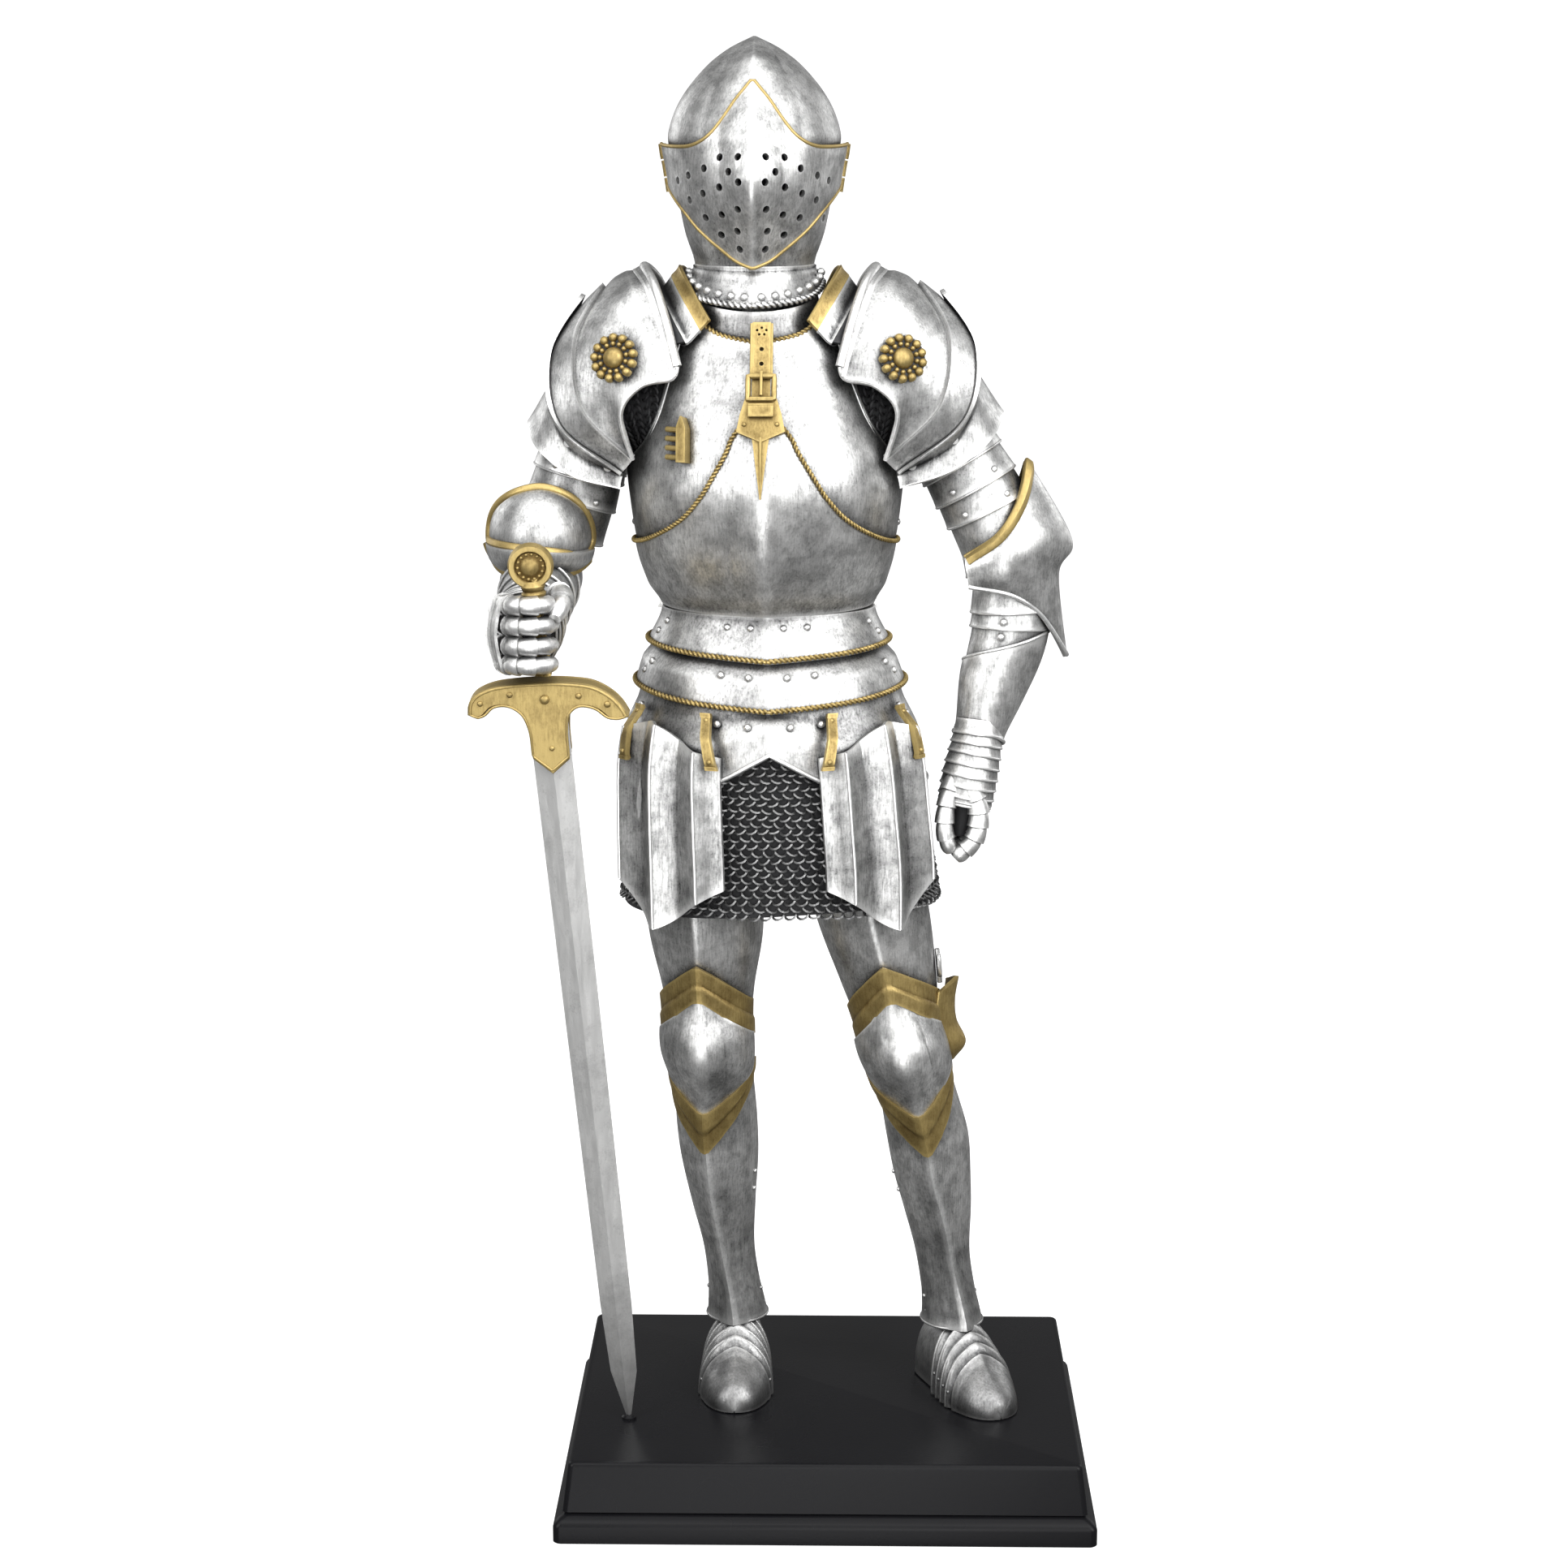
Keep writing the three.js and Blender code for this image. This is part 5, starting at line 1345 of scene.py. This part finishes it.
def sword():
    corners = ((1, 0), (0, -1), (-1, 0), (0, 1))
    rings = [[sword_at(z, half * s, thick * f) for s, f in corners] for z, half, thick in BLADE]
    skin = Skin()
    loft(skin, rings)
    skin.make("blade", "blade", "sword_blade", sharp=12)

    skin = Skin()
    top = smooth_line(GUARD_TOP, 48)
    right, left = smooth_line(GUARD_RIGHT, 30), smooth_line(GUARD_LEFT, 30)
    foot = np.array([[x, 189.7 if abs(x) < 7.4 else z] for x, z in np.vstack([right[:16], left[14:]])])
    slab(skin, np.vstack([top, foot]), -2.5, 2.5, 0.5)
    tongue = np.vstack([top, right, [GUARD_TIP], left])
    for near, far in ((1.9, 3.0), (-3.0, -1.9)):
        slab(skin, tongue, near, far, 0.3)
    middle = np.array([0.0, 189.6])
    for face in (1, -1):
        rim = middle + (tongue - middle) * [0.965, 0.95]
        rod(skin, even_line(sword_at(rim[:, 1], rim[:, 0], face * 2.95), 0.6, True), 0.3, 8, True)
        for side, z, r in GUARD_RIVETS:
            dome(skin, sword_at(z, side, face * 2.95), SWORD_FACE * face, r, r * 0.7)
    skin.make("guard", "gilding", "sword_guard")
    skin = Skin()
    a = np.linspace(0, 2 * math.pi, 24, endpoint=False)
    foot = np.array([POINT[0], POINT[1], 0])
    profile = ((PLINTH_TOP - 0.5, 1.7), (PLINTH_TOP + 0.5, 1.7), (PLINTH_TOP + 0.9, 1.2))
    loft(skin, [foot + points(r * np.cos(a), r * np.sin(a), z) for z, r in profile])
    skin.make("sword_socket", "plinth")

    skin = Skin()
    rope(skin, sword_at(np.linspace(*GRIP, 60)), 2.0)
    rod(skin, sword_at(np.linspace(*FERRULE, len(FERRULE_RADII))), FERRULE_RADII, 20)
    centre = sword_at(POMMEL_AT)

    def around(turn, radius, depth):
        out = SWORD_SIDE * np.cos(turn)[..., None] + SWORD_AXIS * np.sin(turn)[..., None]
        return centre + radius * out + SWORD_FACE * depth

    for turn in 2 * math.pi * np.arange(BEADS["count"]) / BEADS["count"]:
        for face in (1, -1):
            spot = around(turn, BEADS["out"], face)
            dome(skin, spot, SWORD_FACE * face, BEADS["radius"], BEADS["height"], 8, 3)
    profile = [(r, -h) for r, h in POMMEL[:3:-1]] + POMMEL
    a = np.linspace(0, 2 * math.pi, 40, endpoint=False)
    loft(skin, [around(a, r, h) for r, h in profile][::-1])
    skin.make("hilt", "gilding", "sword_hilt")


# ---------- fauld, tassets and mail ----------
UNDER = 1.45
TUCK = 2.2
# Each lame's lower edge, by angle, and its rows, which tuck its head under the one above.
FAULD = [
    ([[0, 195.4], [30, 196.2], [90, 197.6], [180, 198]], ((0, 0), (0.5, 0), (1, 0))),
    ([[0, 184.8], [30, 185.8], [90, 188.2], [180, 189]], ((0, 0), (0.5, 0), (0.8, -UNDER), (1, -UNDER))),
    ([[0, 176], [8, 173.4], [17, 170.4], [30, 167], [90, 166], [180, 167]],
     ((0, 0), (0.5, 0), (0.78, -UNDER), (1, -UNDER))),
]
TASSET = {"from": 18, "to": 71, "flutes": 3, "rise": 2.99, "lift": 1.5}
tasset_foot = table("angle z", [[18, 145.4], [24, 143.6], [48, 135.2], [62, 145], [71, 151]])
tasset_head = table("angle z", [[18, 175], [30, 176.6], [48, 181.4], [62, 179.4], [71, 177]])
skirt_form = ring_form(table("z x y half front back", [
    [136, -10.6, 0, 36.2, 24.8, 24.8], [160, -11.8, 0, 33.3, 25, 23.5], [178, -12.8, 0, 30.6, 23.4, 21.2],
]))


# Rivets on a lame, front and back, in degrees from its middle, and a pair at each end.
RIVETS = {"inner": 8.5, "outer": 21, "end": 66, "last": 72, "drop": 2.4}
WAIST = 203.2


def fauld():
    places = [(s * RIVETS[key] + base, 0) for base in (0, 180) for s in (-1, 1) for key in ("inner", "outer")]
    places += [(s * RIVETS["end"], 0) for s in (-1, 1)]
    places += [(s * RIVETS["last"], -RIVETS["drop"]) for s in (-1, 1)]

    def above(a):
        return WAIST + 0 * a

    for i, (edge_rows, rows) in enumerate(FAULD):
        edge = table("angle z", edge_rows)

        def low(a, edge=edge):
            return edge(away(a))["z"]

        skin = Skin()
        plate(skin, torso_form, AROUND, low, lambda a, top=above: top(a) + TUCK, rows, size=(160, 21))
        below = 3.2 if i else 0.4
        spots = [(a, float(above(np.array(float(a % 360)))) - below + dz) for a, dz in places]
        studs(skin, torso_form, spots, 0.8, 0.6)
        if i == 2:
            edging(skin, torso_form, AROUND, low, 0.55, 0.0, count=240)
        skin.make(f"fauld_plate_{i + 1}", "plate", f"fauld_lame_{i + 1}")
        if i < 2:
            skin = Skin()
            roped(skin, torso_form, AROUND, lambda a: low(a) + 0.5, 0.66, 0.25, 320)
            skin.make(f"fauld_rope_{i + 1}", "gilding")
        above = low


def flute(a, v):
    turn = 2 * math.pi * TASSET["flutes"] * (np.abs(a) - TASSET["from"]) / (TASSET["to"] - TASSET["from"])
    return TASSET["rise"] * (1 - np.abs(np.cos(turn / 2))) ** 0.8


def foot_of_tasset(a):
    return tasset_foot(np.abs(a))["z"]


def head_of_tasset(a):
    return tasset_head(np.abs(a))["z"]


def tassets():
    for name, side in (("right", -1), ("left", 1)):
        span = sorted((side * TASSET["from"], side * TASSET["to"]))
        lift = TASSET["lift"]
        rows = ((0, lift), (1, lift))
        skin = Skin()
        plate(skin, torso_form, span, foot_of_tasset, head_of_tasset, rows, flute, size=(120, 21))
        pitch = (TASSET["to"] - TASSET["from"]) / TASSET["flutes"]
        for k in range(TASSET["flutes"]):
            a = side * (TASSET["from"] + pitch * (k + 0.5))
            ends = (foot_of_tasset(a) + 0.3, head_of_tasset(a) - 0.2)
            rod(skin, even_line(upright(torso_form, a, *ends, lift + TASSET["rise"] - 0.1), 0.9), 0.4, 8)
        skin.make("thigh_plate_" + name, "plate", "tasset_" + name)
        for place, angle in (("front", 25), ("side", 62)):
            tasset_strap(name, side, place, side * angle)


def tasset_strap(name, side, place, centre):
    """A gilt strap from the lame down over the tasset's head, with a bar and a rivet at each end."""
    fall = 0.5 if place == "front" else (0.3 if side < 0 else 0.15)

    def form(a, z):
        return torso_form(a - side * fall * (184 - z), z)

    skin = Skin()
    rows = ((0, 4.6), (0.08, 5.0), (0.55, 4.6), (0.85, 2.4), (1, 1.6))
    plate(skin, form, (centre - 1.9, centre + 1.9), 172.8, 184, rows, thick=1.3, size=(8, 21))
    for z, out in ((182.8, 1.9), (174.2, 4.9)):
        dome(skin, *stud_at(form, centre, z, out), 0.6, 0.5)
    for low, high, out in ((183.4, 184.4, 1.9), (172.5, 173.3, 5.0)):
        rows = ((0, out), (1, out))
        plate(skin, form, (centre - 2.2, centre + 2.2), low, high, rows, thick=1.2, size=(6, 4))
    skin.make(f"thigh_strap_{place}_{name}", "gilding", f"tasset_strap_{place}_{name}", sharp=30)


RING = {"radius": 1.3, "wire": 0.28, "pitch": 2.2, "rise": 1.6, "lean": 26, "droop": 46}


def torus(skin, centre, facing, along, radius, wire):
    """A mail ring, given the way that it faces and a direction in its plane."""
    turns, sides = 11, 4
    across = np.cross(facing, along)
    a = np.linspace(0, 2 * math.pi, turns, endpoint=False)[:, None]
    b = np.linspace(0, 2 * math.pi, sides, endpoint=False)[None, :]
    r = radius + wire * np.cos(b)
    spots = (centre + (r * np.cos(a))[..., None] * along + (r * np.sin(a))[..., None] * across
             + (wire * np.sin(b) + 0 * a)[..., None] * facing)
    faces = []
    for i in range(turns):
        for j in range(sides):
            p, q = i * sides, (i + 1) % turns * sides
            faces.append([p + j, q + j, q + (j + 1) % sides, p + (j + 1) % sides])
    skin.add(spots, faces)


def length_of(line):
    return np.linalg.norm(np.diff(line, axis=0), axis=1).sum()


def mail_on(skin, form, span, low, high, out, rise, pitch=RING["pitch"], radius=RING["radius"]):
    """Rows of linked rings on a form, leaning by turns to one side and the other."""
    levels = int(round((high - low) / rise))
    closed = span == AROUND
    count = int(round(length_of(edge_line(form, span, (low + high) / 2, out)) / pitch))
    step = stride(form)
    for j in range(levels):
        v = low + (j + 0.5) * (high - low) / levels
        u = span[0] + (np.arange(count) + (0.5 if j % 2 else 0.0)) * (span[1] - span[0]) / count
        u = u if closed else u[u < span[1]]
        wave = 0.12 * rise * np.sin(np.radians(u * 9 + j * 40)) if closed else 0 * u
        centre = lifted(form, u, v + wave, out + 0 * u)
        facing = normal(form, u, v + 0 * u)
        along = unit(form(u + step, v + 0 * u) - form(u - step, v + 0 * u))
        lean = RING["lean"] * (1 if j % 2 else -1)
        for c, f, d in zip(centre, facing, along):
            jitter = rng.normal(0, 5, 2)
            up = np.cross(f, d)
            tilt = lean + jitter[0]
            f2 = f * cos(tilt) + d * sin(tilt)
            d2 = d * cos(tilt) - f * sin(tilt)
            droop = RING["droop"] + jitter[1]
            f3 = f2 * cos(droop) + up * sin(droop)
            torus(skin, c, unit(f3), unit(d2 - f3 * (d2 @ f3)), radius, RING["wire"])


SKIRT = {"hem": 138.2, "waist": 176, "middle": 157}
SLEEVES = {
    "right": [[0, -34, 1, 250, 11.6, 11.6], [1, -43, 1, 249, 10.6, 11], [2, -51.4, 1.3, 245, 7.6, 7.6]],
    "left": [[0, 4, 1, 250, 11.6, 11.6], [1, 13, 1, 249, 10.6, 11], [2, 21.6, 1.3, 246.4, 7.4, 7.4]],
}


def mail():
    def hem(a):
        return SKIRT["hem"] + 1.2 * sin(a * 2 + 30)

    skin = Skin()
    # A near-black sheet under the rings: painted shade in the gaps between them.
    plate(skin, skirt_form, AROUND, hem, SKIRT["waist"], ((0, -0.2), (1, -0.2)), thick=1.1, size=(160, 16))
    shade_sheet = skin.make("mail_lining", "dark", "mail_skirt")
    skin = Skin()
    mail_on(skin, skirt_form, AROUND, 138.4, 175.5, -0.15, RING["rise"])
    rings = skin.make("mail_skirt_rings", "mail", sharp=60)
    girth = length_of(edge_line(skirt_form, AROUND, SKIRT["middle"], -1.0, 200))
    drop = length_of(upright(skirt_form, 0, SKIRT["hem"], SKIRT["waist"], 0))

    for name, path in SLEEVES.items():
        left = name == "left"
        form = limb_form(path)
        skin = Skin()
        plate(skin, form, AROUND, 0.1, 1.9, ((0, -0.4), (1, -0.4)), size=(64, 11))
        outer = COLLAR[1][:3]
        inner = [(x - 4.5, y + 1.2, z - 1) for x, y, z in outer]
        fill = [wrapped(outer, SHOULDER_Y), wrapped(inner, SHOULDER_Y)]
        fill = [mirrored(r) for r in fill] if left else fill
        under = shoulder(left, rails=fill)
        plate(skin, under, (0, 1), 0, 1, ((0, -1), (1, -1)), size=(48, 5))
        # Near black: painted shade under the sleeve's rings and the shoulder.
        skin.make("sleeve_lining_" + name, "dark", "mail_sleeve_" + name)
        skin = Skin()
        mail_on(skin, form, (-120, 120), 0.35, 1.75, 0.1, 0.19, 1.7, 1.05)
        for k in range(26):
            u = 0.02 + 0.96 * k / 25
            c, f = stud_at(under, u, 0.12, 0.1)
            d = unit(np.cross(f, [0.2, 0.9, 0.1]))
            torus(skin, c, f, d, 0.8, 0.25)
        # The sleeve's rings in near black: painted shade under the shoulder.
        skin.make("sleeve_rings_" + name, "dark", sharp=60)


# ---------- legs ----------
LEG = {
    "right": {
        "rows": [
            [28, -21, 7.8, 6.3, 6.8, 7.4, -5], [36, -21.3, 7.6, 6.3, 6.8, 7.4, -5],
            [50, -23, 7.2, 5.9, 6.6, 7.4, -9], [62, -24.3, 6.4, 7.4, 8.2, 9.6, -12],
            [74, -25.2, 5.4, 9, 9.6, 11, -13], [84, -25.8, 4, 9.4, 10, 10.8, -12],
            [96, -26.2, 1.6, 9.0, 10, 9.6, -10], [106, -27, 0.2, 9.6, 10.6, 10, -9],
            [116, -27.4, 0, 10.6, 11.2, 11.4, -8], [130, -27.9, 0, 13.2, 13.4, 14, -8],
            [150, -28.8, 0, 13.8, 14.4, 15, -8],
        ],
        "slant": 0, "heel": (-21.2, 19.2), "turn": 0,
    },
    "left": {
        "rows": [
            [28, 30, 4, 6.3, 6.8, 7.4, 20], [36, 29.7, 4, 6.3, 6.8, 7.4, 20],
            [50, 27.6, 4.4, 6.3, 6.8, 7.4, 13], [62, 26.1, 4.4, 8, 8.6, 9.6, 5],
            [70, 24.9, 4.2, 9, 9.6, 10.6, 0], [80, 23.6, 3.4, 9.6, 10, 11, -2],
            [90, 21.4, 1.8, 9.1, 10, 10.2, -2], [100, 18.4, 0.4, 9.1, 10.4, 9.8, 0],
            [108, 16.4, -0.2, 9.5, 10.8, 10.4, 0], [118, 14.2, 0, 11.2, 11.8, 12, 0],
            [134, 10.4, 0, 13.2, 13.6, 14, 0], [150, 7.4, 0, 13, 14.4, 15, 0],
        ],
        "slant": 2, "heel": (26.1, 13.4), "turn": 23,
    },
}
knee = table("angle peak shoulder foot tip", [
    [0, 124.6, 116.2, 88.6, 78], [30, 120.2, 111.4, 92.6, 84.4],
    [60, 116, 107.6, 97, 91.6], [85, 113.8, 105.6, 100, 95],
])
# The gilt chevrons above and below a cop: the edges that bound them, and their rows.
CHEVRONS = {
    "upper": ("shoulder", "peak", ((0, 2.5), (0.46, 2.3), (0.5, 1.7), (0.52, 1.9), (1, 1.7))),
    "lower": ("tip", "foot", ((0, 1.9), (0.48, 2.1), (0.5, 1.9), (0.54, 2.5), (1, 2.6))),
}
THIGH = (106.5, 142)
SHIN = (33.6, 106.2)
COP = {"lift": 1.5, "swell": 3.2, "level": 103, "spread": 8.5}
FOOT = table("s half high", [
    [0, 5, 11], [3, 6.4, 14.6], [12, 6.8, 15.4], [17, 7, 15], [22, 7.3, 12.4], [28, 7.4, 9.2],
    [33, 7.2, 7.4], [38, 7, 6.6],
])
TOE = 37
ROUND = 27  # where the toe begins to close
HEEL, BACK = 1.0, -1.6  # where the heel begins to close, and its back
FOOT_LAMES = (14.4, 17.2, 20, 22.8)


def shin(a, z):
    """The crease down the front of a greave, fading at the knee."""
    return 0.9 * np.maximum(0, 1 - away(a) / 40) * np.clip((92 - z) / 20, 0, 1)


def slim(a, z=0):
    """The knee's plates lie closer to the leg at the sides than over its front."""
    return -1.2 * (np.abs(a) / 84) ** 3


def legs():
    for name, leg in LEG.items():
        form = ring_form(table("z x y half front back turn", leg["rows"]), 1)

        def edge(key, shift=0.0, leg=leg):
            return lambda a: knee(np.abs(a))[key] + leg["slant"] * sin(a) + shift

        def cop(a, z):
            rise = np.exp(-(((z - COP["level"]) / COP["spread"]) ** 2)) * np.maximum(0, cos(a)) ** 0.7
            pinch = 0.5 * np.maximum(0, 1 - np.abs(a) / 12) * np.clip((z - 100) / 8, 0, 1)
            return COP["swell"] * rise + 0.5 * np.maximum(0, 1 - np.abs(a) / 30) - pinch + slim(a)

        span = (-84, 84)
        skin = Skin()
        plate(skin, form, AROUND, *THIGH, size=(96, 21))
        skin.make("thigh_" + name, "plate", "cuisse_" + name)
        skin = Skin()
        rows = ((0, COP["lift"]), (1, COP["lift"]))
        plate(skin, form, span, edge("foot", -0.4), edge("shoulder", 0.4), rows, cop, size=(96, 32))
        studs(skin, form, [(s * 78, z) for s in (-1, 1) for z in (100.5, 103.2, 106)], 0.6, 0.5, 0.4)
        skin.make("knee_cop_" + name, "plate", "poleyn_" + name)
        for part, (low, high, rows) in CHEVRONS.items():
            skin = Skin()
            plate(skin, form, span, edge(low), edge(high), rows, slim, size=(96, 17), thick=1.2)
            skin.make(f"knee_chevron_{part}_{name}", "gilding", f"poleyn_{part}_{name}", sharp=24)
        skin = Skin()
        rows = ((0, 0.9), (0.03, 0.5), (0.1, 0.05), (1, 0))
        plate(skin, form, AROUND, *SHIN, rows, shin, size=(96, 48))
        edging(skin, form, AROUND, 33.8, 0.35, 0.8)
        inner = 84 if name == "right" else -84
        spots = [(inner, z) for z in (66, 70.4)] + [(s * 88, z) for s in (-1, 1) for z in (36.4, 40)]
        studs(skin, form, spots, 0.55, 0.45, 0.1)
        skin.make("shin_" + name, "plate", "greave_" + name)
        sabaton(name, leg)
    wing()


# The wing on the outside of the left knee: its near edge, its outer crest and its far edge.
WING = [
    [(26, -6.4, 116.6), (25.6, -7, 112), (26.4, -7.2, 107), (27.6, -6.4, 102), (27.2, -5.4, 99.4)],
    [(30.4, -1.6, 119), (29.6, -1.6, 113.6), (30, -1.6, 108.8), (32.2, -1.6, 103.4), (29.8, -1.6, 99.8)],
    [(28.6, 6, 116.6), (28.2, 6.4, 112), (28.4, 6.4, 108), (29.4, 6, 104), (28.4, 5, 101)],
]


def wing():
    form = rail_form(WING)
    skin = Skin()
    plate(skin, form, (0, 1), 0, 1, size=(64, 21))
    for v in (0, 1):
        edging(skin, form, (0, 1), v, 0.45, -0.4)
    skin.make("knee_wing", "gilding", "poleyn_wing_left")
    leg = ring_form(table("z x y half front back turn", LEG["left"]["rows"]), 1)
    skin = Skin()
    t = np.linspace(0, 2 * math.pi, 24, endpoint=False)
    frame_line = lifted(leg, 84 + 4 * np.cos(t), 121.6 + 2.6 * np.sin(t), 0.9 + 0 * t)
    rod(skin, frame_line, 0.5, 8, True)
    rod(skin, upright(leg, 84, 117.5, 125.5, 0.7), 0.6, 8)
    skin.make("thigh_buckle", "plate")


def sabaton(name, leg):
    x0, y0 = leg["heel"]

    def form(angle, s):
        r = FOOT(s)
        close = np.sqrt(np.clip(1 - np.maximum(0, (np.asarray(s, float) - ROUND) / (TOE - ROUND)) ** 2, 0, 1))
        heel = np.sqrt(np.clip(1 - np.maximum(0, (HEEL - np.asarray(s, float)) / (HEEL - BACK)) ** 2, 0, 1))
        side = -r["half"] * close * heel * sin(angle)
        up = r["high"] * close**0.7 * heel**0.5 * np.maximum(0, cos(angle)) ** 0.8
        dx, dy = side * cos(leg["turn"]), side * sin(leg["turn"])
        return points(x0 + dx + s * sin(leg["turn"]), y0 + dy - s * cos(leg["turn"]), FLOOR + up)

    def chevron(s):
        return lambda a: s + 2.6 * (np.abs(a) / 90)

    def keel(a, s):
        return 0.5 * np.maximum(0, 1 - np.abs(a) / 26) * np.clip((33 - s) / 6, 0, 1)

    skin = Skin()
    span = (-90, 90)
    plate(skin, form, span, BACK + 0.01, chevron(15.6), swell=keel, size=(64, 24))
    for s in FOOT_LAMES:
        rows = ((0, 1.3), (0.15, 1.3), (0.5, 0.35), (1, 0))
        plate(skin, form, span, chevron(s - 0.6), chevron(s + 3.3), rows, keel, size=(64, 7))
        edging(skin, form, span, chevron(s - 0.4), 0.42, 1.1)
        studs(skin, form, [(side * 76, s + 2.4) for side in (-1, 1)], 0.5, 0.4, 0.9)
    rows = ((0, 0.9), (0.2, 0.4), (0.8, 0.3), (1, 0))
    plate(skin, form, span, chevron(25), TOE - 0.003, rows, keel, size=(64, 24))
    plate(skin, form, span, 0, TOE - 0.1, ((0, -0.5), (0.9, -0.5), (1, -0.2)), thick=0.5, size=(48, 26))
    skin.make("foot_" + name, "plate", "sabaton_" + name)


# ---------- everything ----------
def make_studio():
    """A pale floor and a white backdrop. Only the camera sees them, so the metal mirrors the softboxes."""
    half = 3.0
    bpy.ops.mesh.primitive_plane_add(size=2 * half, location=(0, 0, -0.0002))
    floor = bpy.context.object
    bpy.ops.mesh.primitive_uv_sphere_add(segments=48, ring_count=24, radius=half * 0.98)
    backdrop = bpy.context.object
    for thing, name in ((floor, "pale_floor"), (backdrop, "white_backdrop")):
        thing.name = name
        thing.data.materials.append(MATERIALS[name])
        thing.visible_glossy = False
        thing.visible_diffuse = False
    backdrop.visible_shadow = False


plinth()
helmet()
body()
chest_fittings()
shoulders()
arms()
hands()
sword()
fauld()
tassets()
mail()
legs()
make_studio()
